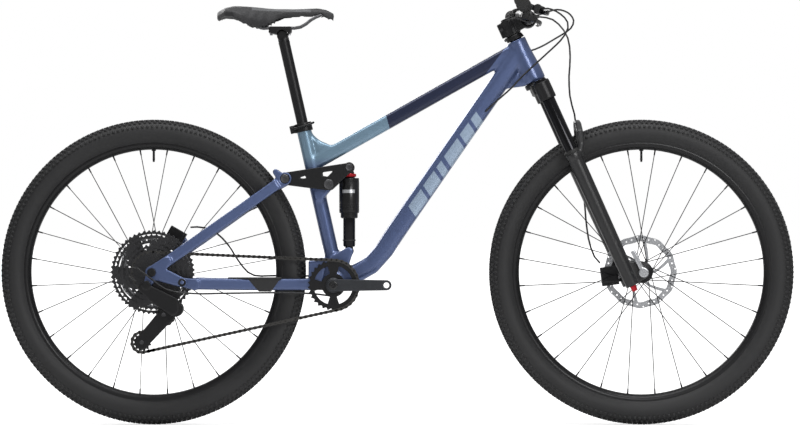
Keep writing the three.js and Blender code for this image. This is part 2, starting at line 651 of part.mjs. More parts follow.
function reboundKnob() {
  return rod(
    onSteer(LOWER_BOTTOM - GAP, LEG_OFFSET, -LEG_SPREAD), onSteer(LOWER_BOTTOM - 14, LEG_OFFSET, -LEG_SPREAD),
    8, 7, 14);
}

// A brake calliper straddles its rotor: its slot is open towards the axle and closed outside the disc
function calliper(axle, outward, distance, rotorY, length, depth) {
  const body = new THREE.BoxGeometry(length, 27, depth);
  const slotTop = ROTOR_RADIUS + 1.5 - distance;
  const slot = new THREE.BoxGeometry(length + 10, 5, depth).translate(0, 0, slotTop - depth / 2);
  const middle = axle.clone().addScaledVector(outward, distance);
  return cut(body, slot)
    .rotateY(Math.atan2(outward.x, outward.z))
    .translate(middle.x, rotorY, middle.z);
}

// The front calliper sits behind the left leg, on two posts that meet the casting
function frontCalliper() {
  const towardsBack = STEER_FORWARD.clone().negate().addScaledVector(STEER_UP, 0.3).normalize();
  const body = calliper(FRONT_AXLE, towardsBack, 76, FRONT_ROTOR_Y, 46, 42);
  const posts = [4, 42].map((height) => rod(
    onSteer(-FORK_LENGTH + height, FORK_OFFSET - 66, 53),
    onSteer(-FORK_LENGTH + height, FORK_OFFSET - 44, 62), 6, 6, 8));
  const leg = rod(
    onSteer(LOWER_BOTTOM, LEG_OFFSET, LEG_SPREAD), onSteer(LOWER_TOP, LEG_OFFSET, LEG_SPREAD),
    LOWER_RADIUS - 2.5 + GAP, LOWER_RADIUS + GAP, 24);
  return cut(join(body, ...posts), leg);
}

function fork() {
  place('fork_crown', forkCrown(), BLACK_METAL);
  place('stanchion_right', stanchion(-1), BLACK_METAL);
  place('stanchion_left', stanchion(1), BLACK_METAL);
  place('fork_lowers', forkLowers(), BLACK_METAL);
  place('front_axle', frontAxle(), STEEL);
  place('rebound_knob', reboundKnob(), RED);
  place('front_calliper', frontCalliper(), BLACK_METAL);
}

// ---------------------------------------------------------------- cockpit

function stem() {
  const low = STEM_MIDDLE - STEM_HEIGHT / 2;
  const high = STEM_MIDDLE + STEM_HEIGHT / 2;
  const steererClamp = turnedOnSteer([[0, low], [20, low], [20, high], [0, high]], 16);
  const barClamp = crossRod(BAR_CENTRE, -25, 25, 21.5, 16);
  const rear = onSteer(STEM_MIDDLE, 4);
  const arm = plate(
    strapShape([[BAR_CENTRE.x, BAR_CENTRE.z, 15], [rear.x, rear.z, 17]]), -17, 17);
  const boltBlock = new THREE.BoxGeometry(16, 26, STEM_HEIGHT - 4).rotateY(-HEAD_ANGLE * RAD);
  const blockPlace = onSteer(STEM_MIDDLE, -20);
  boltBlock.translate(blockPlace.x, 0, blockPlace.z);
  const steererBore = turnedOnSteer([
    [0, low - 5], [STEERER_RADIUS + GAP, low - 5],
    [STEERER_RADIUS + GAP, high + 5], [0, high + 5],
  ], 16);
  const barBore = crossRod(BAR_CENTRE, -40, 40, BAR_CLAMP_RADIUS + GAP, 16);
  return cut(join(steererClamp, barClamp, arm, boltBlock), steererBore, barBore);
}

// The bar rises from the clamp and sweeps back and up towards its ends
function barPoint(y) {
  const rise = THREE.MathUtils.smoothstep(Math.abs(y), 35, 125);
  const sweep = Math.max(0, Math.abs(y) - 35) / (BAR_HALF_LENGTH - 35);
  return vec(
    BAR_CENTRE.x - BAR_SWEEP * sweep, y,
    BAR_CENTRE.z + BAR_RISE * (0.72 * rise + 0.28 * sweep));
}

function handlebar() {
  const stations = [-370, -260, -150, -110, -75, -40, 0, 40, 75, 110, 150, 260, 370];
  const points = stations.map((y) => barPoint((y / 370) * BAR_HALF_LENGTH));
  const bar = tube(points, roundSection(BAR_RADIUS, 10), 16);
  const clampArea = crossRod(BAR_CENTRE, -32, 32, BAR_CLAMP_RADIUS, 16);
  const cones = [-1, 1].map((side) => rod(
    barPoint(side * 31), barPoint(side * 80), BAR_CLAMP_RADIUS, BAR_RADIUS, 12));
  return join(bar, clampArea, ...cones);
}

function grip(side) {
  const inner = barPoint(side * (BAR_HALF_LENGTH - GRIP_LENGTH));
  const outer = barPoint(side * (BAR_HALF_LENGTH + 3));
  const sleeve = rod(inner, outer, GRIP_RADIUS, GRIP_RADIUS - 1, 14);
  const flange = rod(
    inner, barPoint(side * (BAR_HALF_LENGTH - GRIP_LENGTH + 6)), GRIP_RADIUS + 3, GRIP_RADIUS + 2, 14);
  const bore = rod(
    barPoint(side * (BAR_HALF_LENGTH - GRIP_LENGTH - 10)), barPoint(side * (BAR_HALF_LENGTH + GAP)),
    BAR_RADIUS + GAP + 0.35, BAR_RADIUS + GAP + 0.35, 12);
  return cut(join(sleeve, flange), bore);
}

// Everything on the lever clamp is drawn level, then tilted and carried to the bar
function onBar(geometry, side) {
  const seat = barPoint(side * LEVER_CLAMP_Y);
  return geometry.rotateY(LEVER_TILT * RAD).translate(seat.x, 0, seat.z);
}

const LEVER_PIVOT = [42, LEVER_CLAMP_Y - 26]; // forward of the bar, and across
const atLeverPivot = (side, height) => vec(LEVER_PIVOT[0], side * LEVER_PIVOT[1], height);

function brakeMaster(side) {
  const ring = rod(vec(0, side * (LEVER_CLAMP_Y - 8), 0), vec(0, side * (LEVER_CLAMP_Y + 8), 0), 17, 17, 14);
  const neck = new THREE.BoxGeometry(24, 14, 13).translate(22, side * LEVER_CLAMP_Y, 2);
  const cylinderBody = rod(
    vec(35, side * (LEVER_CLAMP_Y - 56), 3), vec(33, side * (LEVER_CLAMP_Y + 12), 3), 10, 11, 14);
  const pivotEar = rod(
    atLeverPivot(side, 6.5), atLeverPivot(side, 14), 8, 8, 12);
  const pieces = [ring, neck, cylinderBody, pivotEar];
  if (side < 0) {
    // On the drive side the shifter hangs from the same clamp, under the bar
    pieces.push(new THREE.BoxGeometry(34, 40, 16).translate(20, side * (LEVER_CLAMP_Y - 22), -22));
    pieces.push(new THREE.BoxGeometry(14, 12, 24).translate(12, side * (LEVER_CLAMP_Y - 6), -14));
  }
  const bore = rod(
    vec(0, side * (LEVER_CLAMP_Y - 20), 0), vec(0, side * (LEVER_CLAMP_Y + 20), 0),
    BAR_RADIUS + 1.4, BAR_RADIUS + 1.4, 12);
  const leverRoom = rod(
    atLeverPivot(side, -8), atLeverPivot(side, 6.5), 10.5, 10.5, 16);
  const bladeRoom = new THREE.BoxGeometry(30, 60, 14.5)
    .translate(LEVER_PIVOT[0] + 12, side * (LEVER_CLAMP_Y + 2), -0.75);
  return onBar(cut(join(...pieces), bore, leverRoom, bladeRoom), side);
}

// The blade curves outwards in front of the grip
function brakeLever(side) {
  const hub = rod(
    atLeverPivot(side, -6), atLeverPivot(side, 6), 7.5, 7.5, 14);
  const blade = tube([
    vec(LEVER_PIVOT[0], side * LEVER_PIVOT[1], 0),
    vec(LEVER_PIVOT[0] + 14, side * (LEVER_PIVOT[1] + 22), 0),
    vec(LEVER_PIVOT[0] + 18, side * (LEVER_PIVOT[1] + 55), -1),
    vec(LEVER_PIVOT[0] + 11, side * (LEVER_PIVOT[1] + 88), -2),
    vec(LEVER_PIVOT[0] + 15, side * (LEVER_PIVOT[1] + 104), -2),
  ], roundedSection(11, 6, 2), 8, 1);
  return onBar(join(hub, blade), side);
}

function shiftLever() {
  const y = -(LEVER_CLAMP_Y - 22);
  const hub = rod(vec(22, y, -30.6), vec(22, y, -36), 8, 8, 14);
  const paddle = tube([
    vec(22, y, -33.5), vec(6, y - 8, -34), vec(-8, y - 20, -33),
  ], roundedSection(4, 13, 1.5), 4, 1);
  return onBar(join(hub, paddle), -1);
}

function cockpit() {
  place('stem', stem(), BLACK_METAL);
  place('handlebar', handlebar(), BLACK_METAL);
  for (const [name, side] of [['right', -1], ['left', 1]]) {
    place(`grip_${name}`, grip(side), RUBBER);
    place(`brake_master_${name}`, brakeMaster(side), BLACK_METAL);
    place(`brake_lever_${name}`, brakeLever(side), BLACK_METAL);
  }
  place('shift_lever', shiftLever(), BLACK_PLASTIC);
}

// ---------------------------------------------------------------- wheels

const RIM_SIDES = 2 * SPOKES_PER_SIDE; // so that every spoke ends at a corner
const TYRE_SIDES = 2 * RIM_SIDES;

function tyre(axle) {
  const bead = RIM_OUTER_RADIUS + GAP;
  const widest = (RIM_OUTER_RADIUS + TYRE_RADIUS) / 2 - 2;
  return turnedAcross([
    [bead, -13], [widest, -TYRE_HALF_WIDTH], [TYRE_RADIUS, -11],
    [TYRE_RADIUS, 11], [widest, TYRE_HALF_WIDTH], [bead, 13], [bead, -13],
  ], axle, TYRE_SIDES);
}

function rim(axle) {
  const w = RIM_HALF_WIDTH;
  return turnedAcross([
    [RIM_INNER_RADIUS, -9], [RIM_OUTER_RADIUS, -w], [RIM_OUTER_RADIUS, w],
    [RIM_INNER_RADIUS, 9], [RIM_INNER_RADIUS, -9],
  ], axle, RIM_SIDES);
}

// Hub shell and its spokes: each spoke leans around the hub, alternately forward and back
function hub(axle, shellHalf, flanges, flangeRadius, ends) {
  const [right, left] = flanges;
  const bore = AXLE_RADIUS + RUNNING;
  const shell = turnedAcross([
    [bore, -ends[0]], [11, -ends[0]], [11, right - 4], [flangeRadius, right - 1.6],
    [flangeRadius, right + 1.6], [shellHalf, right + 7], [shellHalf, left - 7],
    [flangeRadius, left - 1.6], [flangeRadius, left + 1.6], [15, left + 4], [15, ends[1] - 10],
    [11, ends[1] - 10], [11, ends[1]], [bore, ends[1]], [bore, -ends[0]],
  ], axle, 14);
  const spokes = [];
  for (const [flange, shift] of [[right, 0], [left, 0.5]]) {
    for (let i = 0; i < SPOKES_PER_SIDE; i += 1) {
      const turn = ((i + shift) / SPOKES_PER_SIDE) * Math.PI * 2;
      const lean = i % 2 ? SPOKE_CROSS : -SPOKE_CROSS;
      const headSide = i % 2 ? 1.2 : -1.2; // spoke heads sit on alternate faces of the flange
      const inner = turn + lean;
      const reach = flangeRadius - 3.5;
      const tip = RIM_INNER_RADIUS - 3 * GAP;
      spokes.push(rod(
        vec(axle.x + reach * Math.cos(inner), flange + headSide, axle.z + reach * Math.sin(inner)),
        vec(axle.x + tip * Math.cos(turn), Math.sign(flange) * 2, axle.z + tip * Math.sin(turn)),
        SPOKE_RADIUS, SPOKE_RADIUS, 3));
    }
  }
  return join(shell, ...spokes);
}

// A drilled ring on six swept arms
function rotor(axle, y, hubRadius) {
  const half = ROTOR_THICKNESS / 2;
  const ring = new THREE.Shape();
  ring.absarc(0, 0, ROTOR_RADIUS, 0, Math.PI * 2, false);
  const window = new THREE.Path();
  window.absarc(0, 0, ROTOR_RADIUS - 14, 0, Math.PI * 2, true);
  ring.holes.push(window);
  const centre = new THREE.Shape();
  centre.absarc(0, 0, 24, 0, Math.PI * 2, false);
  const bore = new THREE.Path();
  bore.absarc(0, 0, hubRadius + GAP, 0, Math.PI * 2, true);
  centre.holes.push(bore);
  const arms = Array.from({ length: 6 }, (_, i) => {
    const from = (i / 6) * Math.PI * 2;
    const to = from + 0.5;
    return rod(
      vec(20 * Math.cos(from), 0, 20 * Math.sin(from)),
      vec((ROTOR_RADIUS - 10) * Math.cos(to), 0, (ROTOR_RADIUS - 10) * Math.sin(to)),
      half * 0.98, half * 0.98, 4);
  });
  return join(plate(ring, -half, half, 14), plate(centre, -half, half, 8), ...arms)
    .translate(axle.x, y, axle.z);
}

function wheels() {
  place('front_tyre', tyre(FRONT_AXLE), RUBBER);
  place('front_rim', rim(FRONT_AXLE), BLACK_METAL);
  place('front_hub', hub(FRONT_AXLE, 14, [-24, 24], 27, [FRONT_HUB_HALF, FRONT_HUB_HALF]), BLACK_METAL);
  place('front_rotor', rotor(FRONT_AXLE, FRONT_ROTOR_Y, 15), STEEL);
  place('rear_tyre', tyre(REAR_AXLE), RUBBER);
  place('rear_rim', rim(REAR_AXLE), BLACK_METAL);
  place('rear_hub', hub(REAR_AXLE, 15, [-22, 33], 29, [REAR_HUB_HALF, REAR_HUB_HALF]), BLACK_METAL);
  place('rear_rotor', rotor(REAR_AXLE, REAR_ROTOR_Y, 15), STEEL);
}

// ---------------------------------------------------------------- rear suspension

const TYRE_ROOM = 34; // inner face of the stays beside the tyre
const HORST_INNER = 60;
const HORST_OUTER = REAR_HUB_HALF - GAP;
const DROPOUT_THICKNESS = 10;
const YOKE_REAR = REAR_AXLE.x + TYRE_RADIUS + 6.3;

function chainstays() {
  const main = fromBB(MAIN_PIVOT);
  const horst = fromBB(HORST_PIVOT);
  const barTop = BB.z + 15.6;
  const barLow = barTop - CHAINSTAY_DEPTH;
  const middleZ = (barTop + barLow) / 2;
  const yoke = plate([
    [YOKE_REAR, barLow + 2], [YOKE_REAR + 29, barLow + 4], [YOKE_REAR + 29, barTop + 4],
    [YOKE_REAR + 12, barTop + 20], [YOKE_REAR + 12, main.z + 6], [YOKE_REAR, main.z + 6],
  ], -TYRE_ROOM - CHAINSTAY_THICKNESS + 1, TYRE_ROOM + CHAINSTAY_THICKNESS - 1);
  const earOutline = strapShape([
    [main.x, main.z, 13], [YOKE_REAR + 6, main.z - 6, 5],
    [YOKE_REAR + 8, barLow + 10, 7], [main.x - 4, barLow + 14, 8],
  ]);
  const pieces = [yoke];
  for (const side of [-1, 1]) {
    const inner = MAIN_LUG_HALF + 2 * GAP;
    const outer = TYRE_ROOM + CHAINSTAY_THICKNESS - 1;
    pieces.push(sidePlate(earOutline, side, inner, outer));
    const lateral = TYRE_ROOM + CHAINSTAY_THICKNESS / 2;
    const rearLateral = (HORST_INNER + HORST_OUTER) / 2;
    pieces.push(tube([
      vec(YOKE_REAR + 10, side * lateral, middleZ),
      vec(YOKE_REAR - 30, side * lateral, middleZ),
      vec((YOKE_REAR + horst.x) / 2, side * (lateral + rearLateral) / 2, middleZ),
      vec(horst.x + 26, side * rearLateral, middleZ + 2),
    ], roundedSection(CHAINSTAY_DEPTH, CHAINSTAY_THICKNESS, 4), 8, 1));
    const tip = strapShape([
      [horst.x, horst.z, 11.5], [horst.x + 30, middleZ - 3, 11], [horst.x + 30, middleZ + 3, 11],
    ]);
    pieces.push(sidePlate(tip, side, HORST_INNER, HORST_OUTER));
    const pinEnd = HORST_OUTER + DROPOUT_THICKNESS + 3;
    pieces.push(crossRod(horst, side * (HORST_OUTER - 4), side * pinEnd, PIVOT_PIN));
  }
  pieces.push(crossRod(main, -MAIN_LUG_HALF - 6, MAIN_LUG_HALF + 6, PIVOT_PIN + 2));
  return join(...pieces);
}

// The seatstays, their dropouts and the bridge above the tyre
const STAY_TOP_Y = 42;
const STAY_THICKNESS = 14;
const HANGER_BOLT = [-11.5, -30.5];
const CALLIPER_FACE = REAR_ROTOR_Y + 13.5 + GAP;

function seatstays() {
  const horst = fromBB(HORST_PIVOT);
  const top = fromBB(ROCKER_REAR);
  const along = vec(top.x - REAR_AXLE.x, 0, top.z - REAR_AXLE.z).normalize();
  const lateralAt = (distance) => {
    const reach = top.distanceTo(REAR_AXLE);
    const dropout = REAR_HUB_HALF + DROPOUT_THICKNESS / 2;
    return dropout + (STAY_TOP_Y - dropout) * Math.min(1, distance / reach);
  };
  const pieces = [];
  const holes = [];
  for (const side of [-1, 1]) {
    const inner = REAR_HUB_HALF + GAP;
    const outer = inner + DROPOUT_THICKNESS;
    const [low, high] = side > 0 ? [inner, outer] : [-outer, -inner];
    const hornRoot = REAR_AXLE.clone().addScaledVector(along, 44);
    pieces.push(plate(strapShape([
      [REAR_AXLE.x, REAR_AXLE.z, 16], [horst.x, horst.z, 12], [REAR_AXLE.x + 30, REAR_AXLE.z + 2, 8],
    ]), low, high));
    if (side < 0) {
      // The derailleur's hanger reaches down behind the axle
      const hanger = fromRearAxle(HANGER_BOLT);
      pieces.push(plate(strapShape([
        [hanger.x, hanger.z, 9], [REAR_AXLE.x, REAR_AXLE.z, 12], [REAR_AXLE.x + 14, REAR_AXLE.z - 8, 6],
      ]), low, high));
    } else {
      // The rear calliper stands on a bracket above the left stay
      const foot = REAR_AXLE.clone().addScaledVector(along, 70);
      pieces.push(plate(strapShape([
        [foot.x, foot.z, 9], [foot.x + 24, foot.z + 16, 8],
        [foot.x + 6, foot.z + 48, 8], [foot.x - 14, foot.z + 40, 8],
      ]), CALLIPER_FACE, CALLIPER_FACE + 6));
    }
    pieces.push(plate(strapShape([
      [REAR_AXLE.x, REAR_AXLE.z, 15], [hornRoot.x, hornRoot.z, STAY_DEPTH / 2],
    ]), low, high));
    const at = (distance, rise = 0) => {
      const spot = REAR_AXLE.clone().addScaledVector(along, distance);
      return vec(spot.x, side * lateralAt(distance), spot.z + rise);
    };
    pieces.push(tube([at(38), at(372)], roundedSection(STAY_THICKNESS, STAY_DEPTH, 4), 1, 2));
    const eye = [top.x, top.z, 16];
    const root = at(350);
    pieces.push(sidePlate(strapShape([eye, [root.x, root.z, 12]]), side, STAY_TOP_Y - 6, STAY_TOP_Y + 6));
    holes.push(crossRod(horst, side * 60, side * 100, PIVOT_PIN + RUNNING));
    holes.push(crossRod(top, side * 20, side * 60, OPEN_PIVOT_HOLE, 20));
  }
  const bridge = vec(top.x - 23, 0, top.z + 16.5);
  pieces.push(crossRod(bridge, -STAY_TOP_Y - 5, STAY_TOP_Y + 5, 7, 12));
  for (const side of [-1, 1]) {
    const lug = strapShape([[bridge.x, bridge.z, 7], [top.x - 12, top.z - 4, 5], [top.x - 5, top.z + 6, 5]]);
    pieces.push(sidePlate(lug, side, STAY_TOP_Y - 6, STAY_TOP_Y + 6));
  }
  holes.push(crossRod(REAR_AXLE, -100, 100, AXLE_RADIUS + RUNNING));
  return cut(join(...pieces), ...holes);
}

// Two plates straddle the seat tube; the pivot and shock pins hold them together
const ROCKER_INNER = 25.4;
const ROCKER_OUTER = STAY_TOP_Y - 6 - 2 * GAP;

function rockerLink() {
  const rear = fromBB(ROCKER_REAR);
  const pivot = fromBB(ROCKER_PIVOT);
  const front = fromBB(SHOCK_TOP);
  const outline = strapShape([
    [rear.x, rear.z, 15], [pivot.x, pivot.z, 15], [front.x, front.z, 11.5],
  ]);
  const windowRear = plate([
    [rear.x + 33, rear.z + 1], [rear.x + 52, rear.z + 1],
    [rear.x + 48, rear.z + 8], [rear.x + 34, rear.z + 3],
  ], -60, 60);
  const windowFront = plate([
    [pivot.x - 15, pivot.z + 21], [pivot.x - 3, pivot.z + 19],
    [pivot.x + 12, pivot.z + 34], [pivot.x - 16, pivot.z + 30],
  ], -60, 60);
  const plates = [-1, 1].map((side) => sidePlate(outline, side, ROCKER_INNER, ROCKER_OUTER, 8));
  const pierced = plates.map((link) => cut(link, windowRear, windowFront));
  const pivotPin = crossRod(pivot, -ROCKER_INNER - 3, ROCKER_INNER + 3, PIVOT_PIN);
  const shockPin = crossRod(front, -ROCKER_INNER - 3, ROCKER_INNER + 3, 5);
  const rearStubs = [-1, 1].map((side) => crossRod(
    rear, side * (ROCKER_OUTER - 4), side * (STAY_TOP_Y + 5), PIVOT_PIN));
  return join(pierced[0], pierced[1], pivotPin, shockPin, ...rearStubs);
}

// The air can slides down over the shaft; both ends have eyes
const SHOCK_TRAVEL = 48;

function shockCan() {
  const eye = fromBB(SHOCK_TOP);
  const x = eye.x;
  const eyeRing = crossRod(eye, -SHOCK_EYE_HALF, SHOCK_EYE_HALF, 13.5, 16);
  const neck = rod(vec(x, 0, eye.z - 10), vec(x, 0, eye.z - 27), 12, 14, 16);
  const can = rod(vec(x, 0, eye.z - 25.5), vec(x, 0, eye.z - 111), SHOCK_BODY_RADIUS, SHOCK_BODY_RADIUS, 18);
  const collar = rod(vec(x, 0, eye.z - 110), vec(x, 0, eye.z - 124), 20, 20, 18);
  const boreRadius = SHOCK_SHAFT_RADIUS + RUNNING;
  const bore = rod(vec(x, 0, eye.z - 60), vec(x, 0, eye.z - 130), boreRadius, boreRadius, 16);
  const hole = crossRod(eye, -20, 20, 9.6, 16);
  return cut(join(eyeRing, neck, can, collar), bore, hole);
}

function shockShaft() {
  const eye = fromBB(SHOCK_BOTTOM);
  const top = fromBB(SHOCK_TOP).z - 62 - SHOCK_TRAVEL;
  const shaft = rod(
    vec(eye.x, 0, eye.z + 14), vec(eye.x, 0, top), SHOCK_SHAFT_RADIUS, SHOCK_SHAFT_RADIUS, 16);
  const neck = rod(vec(eye.x, 0, eye.z + 4), vec(eye.x, 0, eye.z + 16), 10, 10, 16);
  const eyeRing = crossRod(eye, -SHOCK_EYE_HALF, SHOCK_EYE_HALF, 11.5, 16);
  return cut(join(shaft, neck, eyeRing), crossRod(eye, -20, 20, 5 + RUNNING, 16));
}

function shockKnob() {
  const eye = fromBB(SHOCK_TOP);
  const body = rod(vec(eye.x, 0, eye.z - 15), vec(eye.x, 0, eye.z - 23), 17.5, 17.5, 16);
  const room = rod(vec(eye.x, 0, eye.z - 5), vec(eye.x, 0, eye.z - 30), 14.6, 14.6, 16);
  return cut(body, room);
}

function rearAxle() {
  const shaft = crossRod(REAR_AXLE, -REAR_HUB_HALF - 13, REAR_HUB_HALF + 8, AXLE_RADIUS, 12);
  const cap = crossRod(REAR_AXLE, -REAR_HUB_HALF - 14, -REAR_HUB_HALF - DROPOUT_THICKNESS - 2 * GAP, 11);
  return join(shaft, cap);
}

function rearCalliper() {
  const outward = vec(0.5, 0, 0.866);
  return calliper(REAR_AXLE, outward, 99, REAR_ROTOR_Y, 44, 40);
}

function rearSuspension() {
  place('chainstays', chainstays(), PAINT);
  place('seatstays', seatstays(), PAINT);
  place('rocker_link', rockerLink(), BLACK_METAL);
  place('shock_can', shockCan(), BLACK_METAL);
  place('shock_shaft', shockShaft(), DARK_STEEL);
  place('shock_knob', shockKnob(), RED);
  place('rear_axle', rearAxle(), BLACK_METAL);
  place('rear_calliper', rearCalliper(), BLACK_METAL);
}

// ---------------------------------------------------------------- drivetrain

const RING_ROOT = pitchRadius(CHAINRING_TEETH) - 4.6;
const CHAIN_HALF = CHAIN_HEIGHT / 2;

const SPIDER_RADIUS = 18.7;

// The chainring: its teeth stand inside the chain's inner groove
function chainring() {
  const outline = Array.from({ length: CHAINRING_TEETH * 2 }, (_, i) => {
    const angle = (i / (CHAINRING_TEETH * 2)) * Math.PI * 2;
    const radius = pitchRadius(CHAINRING_TEETH) + (i % 2 ? 1.6 : -1.5);
    return new THREE.Vector2(radius * Math.cos(angle), radius * Math.sin(angle));
  });
  const ring = new THREE.Shape(outline);
  for (let i = 0; i < 4; i += 1) {
    const middle = (i / 4) * Math.PI * 2 + Math.PI / 4;
    const window = new THREE.Path();
    window.absarc(0, 0, 47, middle + 0.5, middle - 0.5, true);
    window.absarc(0, 0, 30, middle - 0.4, middle + 0.4, false);
    ring.holes.push(window);
  }
  const disc = plate(ring, -CHAINLINE - 1, -CHAINLINE + 1, 3).translate(BB.x, 0, BB.z);
  return cut(disc, crossRod(BB, -CHAINLINE - 5, -CHAINLINE + 5, SPIDER_RADIUS + 2 * GAP, 16));
}

const ARM_INNER = 58;
const ARM_OUTER = 72;

// A crank arm points along the direction given; the drive-side arm carries the spindle
function crank(side, direction) {
  const end = [BB.x + direction * CRANK_LENGTH, BB.z];
  const ring = [BB.x, BB.z, 15];
  const eye = [end[0], end[1], 12.7];
  const outline = strapShape([ring, eye]);
  const arm = sidePlate(outline, side, ARM_INNER, ARM_OUTER, 8);
  const pedalHole = crossRod(vec(end[0], 0, end[1]), side * 50, side * 80, 7.1, 20);
  if (side > 0) {
    const seat = crossRod(BB, 0, ARM_OUTER + 5, SPINDLE_RADIUS + GAP, 20);
    return cut(arm, pedalHole, seat);
  }
  const spindle = crossRod(BB, -ARM_INNER - 5, ARM_OUTER - 1, SPINDLE_RADIUS, 20);
  const ringSeat = crossRod(BB, -ARM_INNER - 1, -BB_SHELL_HALF - 2, SPIDER_RADIUS, 16);
  return cut(join(arm, spindle, ringSeat), pedalHole);
}

// The cassette: one cone of cogs on its core, with room round the cog that carries the chain
function cassette() {
  const boreRadius = 15 + GAP;
  const outerEnd = 1 - REAR_HUB_HALF;
  const half = COG_SPACING / 2;
  const room = CHAIN_WIDTH / 2 + GAP;
  const profile = [[boreRadius, outerEnd], [pitchRadius(COG_TEETH[0]), outerEnd]];
  COG_TEETH.forEach((teeth, i) => {
    const y = cogY(i);
    const tip = pitchRadius(teeth) + 1.2;
    if (i === CHAIN_COG) {
      const floor = pitchRadius(teeth) - CHAIN_HALF - 2 * GAP;
      profile.push([floor, y - room], [floor, y - 0.8], [tip, y - 0.8]);
      profile.push([tip, y + 0.8], [floor, y + 0.8], [floor, y + room]);
    } else if (i === CHAIN_COG + 1) {
      profile.push([tip, y - COG_SPACING + room]);
    } else if (i === CHAIN_COG - 1) {
      profile.push([tip, y + COG_SPACING - room]);
    } else {
      profile.push([tip, y]);
    }
  });
  const last = cogY(COG_TEETH.length - 1) + half;
  profile.push([96, last], [20, last], [20, last + 2], [boreRadius, last + 2], [boreRadius, outerEnd]);
  return turnedAcross(profile, REAR_AXLE, 18);
}

function pulley(centre) {
  const radius = pitchRadius(PULLEY_TEETH) - CHAIN_HALF - GAP;
  return turnedAcross([
    [3, -3.5], [8, -3.5], [8, -1.5], [radius, -1.5], [radius, 1.5], [8, 1.5], [8, 3.5], [3, 3.5], [3, -3.5],
  ], vec(centre.x, -CHAINLINE, centre.z), 16);
}

// The derailleur hangs from the dropout: hanger bolt, slanted linkage, clutch housing
function derailleur() {
  const bolt = fromRearAxle(HANGER_BOLT);
  const clutch = fromRearAxle(CAGE_PIVOT);
  const face = -REAR_HUB_HALF - GAP - DROPOUT_THICKNESS - GAP;
  const knuckle = crossRod(bolt, face - 22, face, 11);
  const linkage = plate(strapShape([
    [bolt.x - 6, bolt.z - 6, 12], [bolt.x + 20, bolt.z - 34, 10],
    [clutch.x - 8, clutch.z, 14], [clutch.x, clutch.z + 18, 8],
  ]), face - 20, face - 8);
  const housing = crossRod(clutch, face - 18, -CHAINLINE - 13.5, 19, 18);
  return join(knuckle, linkage, housing);
}

function derailleurCage() {
  const clutch = fromRearAxle(CAGE_PIVOT);
  const guide = fromRearAxle(GUIDE_PULLEY);
  const tension = fromRearAxle(TENSION_PULLEY);
  const outline = strapShape([
    [clutch.x, clutch.z, 10], [guide.x, guide.z, 13],
    [tension.x, tension.z, 17], [guide.x + 8, guide.z - 10, 12],
  ]);
  const simple = strapShape([[guide.x, guide.z, 15], [tension.x, tension.z, 17]]);
  const plates = [
    plate(outline, -CHAINLINE - 12.9, -CHAINLINE - 10.5),
    plate(simple, -CHAINLINE + 4.6, -CHAINLINE + 6.6),
  ];
  const pins = [guide, tension].map((spot) => crossRod(spot, -CHAINLINE - 11, -CHAINLINE + 5, 2.6, 12));
  return join(...plates, ...pins);
}

// The chain's route as a side view: arcs round the toothed wheels and straight runs between them
const ringCircle = { x: BB.x, z: BB.z, r: pitchRadius(CHAINRING_TEETH) };
const cogCircle = { x: REAR_AXLE.x, z: REAR_AXLE.z, r: pitchRadius(COG_TEETH[CHAIN_COG]) };
const guideCircle = { ...point2(fromRearAxle(GUIDE_PULLEY)), r: pitchRadius(PULLEY_TEETH) };
const tensionCircle = { ...point2(fromRearAxle(TENSION_PULLEY)), r: pitchRadius(PULLEY_TEETH) };

function point2(v) {
  return { x: v.x, z: v.z };
}

// Tangent from circle a to circle b; sideA and sideB say on which side the line touches each
function chainTangent(a, b, sideA, sideB) {
  const dx = b.x - a.x;
  const dz = b.z - a.z;
  const distance = Math.hypot(dx, dz);
  const heading = Math.atan2(dz, dx);
  const lean = Math.asin((sideA * a.r - sideB * b.r) / distance);
  const angle = heading - lean + Math.PI / 2;
  return {
    from: [a.x + sideA * a.r * Math.cos(angle), a.z + sideA * a.r * Math.sin(angle)],
    to: [b.x + sideB * b.r * Math.cos(angle), b.z + sideB * b.r * Math.sin(angle)],
  };
}

function arcPoints(circle, from, to, turn, steps) {
  const start = Math.atan2(from[1] - circle.z, from[0] - circle.x);
  let sweep = Math.atan2(to[1] - circle.z, to[0] - circle.x) - start;
  if (turn > 0 && sweep < 0) sweep += Math.PI * 2;
  if (turn < 0 && sweep > 0) sweep -= Math.PI * 2;
  return Array.from({ length: steps + 1 }, (_, i) => {
    const angle = start + (sweep * i) / steps;
    return [circle.x + circle.r * Math.cos(angle), circle.z + circle.r * Math.sin(angle)];
  });
}

const GROOVE_HALF = 1.35; // the gap between the links' inner plates, for the teeth

// A band of chain along the route, with an inner groove for the teeth on the side given
function chainBand(route, grooveSide) {
  const offset = (distance) => route.map((spot, i) => {
    const before = route[Math.max(0, i - 1)];
    const after = route[Math.min(route.length - 1, i + 1)];
    const length = Math.hypot(after[0] - before[0], after[1] - before[1]);
    const nx = -(after[1] - before[1]) / length;
    const nz = (after[0] - before[0]) / length;
    return [spot[0] + nx * distance, spot[1] + nz * distance];
  });
  const outline = (low, high) => [...offset(low), ...offset(high).reverse()];
  const y0 = -CHAINLINE - CHAIN_WIDTH / 2;
  const band = plate(outline(-CHAIN_HALF, CHAIN_HALF), y0, y0 + CHAIN_WIDTH);
  if (!grooveSide) return band;
  const edge = grooveSide * (CHAIN_HALF + 1);
  const depth = -grooveSide * 2.4;
  const [low, high] = grooveSide > 0 ? [depth, edge] : [edge, depth];
  const groove = plate(outline(low, high), -CHAINLINE - GROOVE_HALF, -CHAINLINE + GROOVE_HALF);
  return cut(band, groove);
}

const topRun = chainTangent(cogCircle, ringCircle, 1, 1);
const lowRun = chainTangent(ringCircle, tensionCircle, 1, 1);
const cogToGuide = chainTangent(cogCircle, guideCircle, -1, 1);
const guideToTension = chainTangent(guideCircle, tensionCircle, 1, -1);

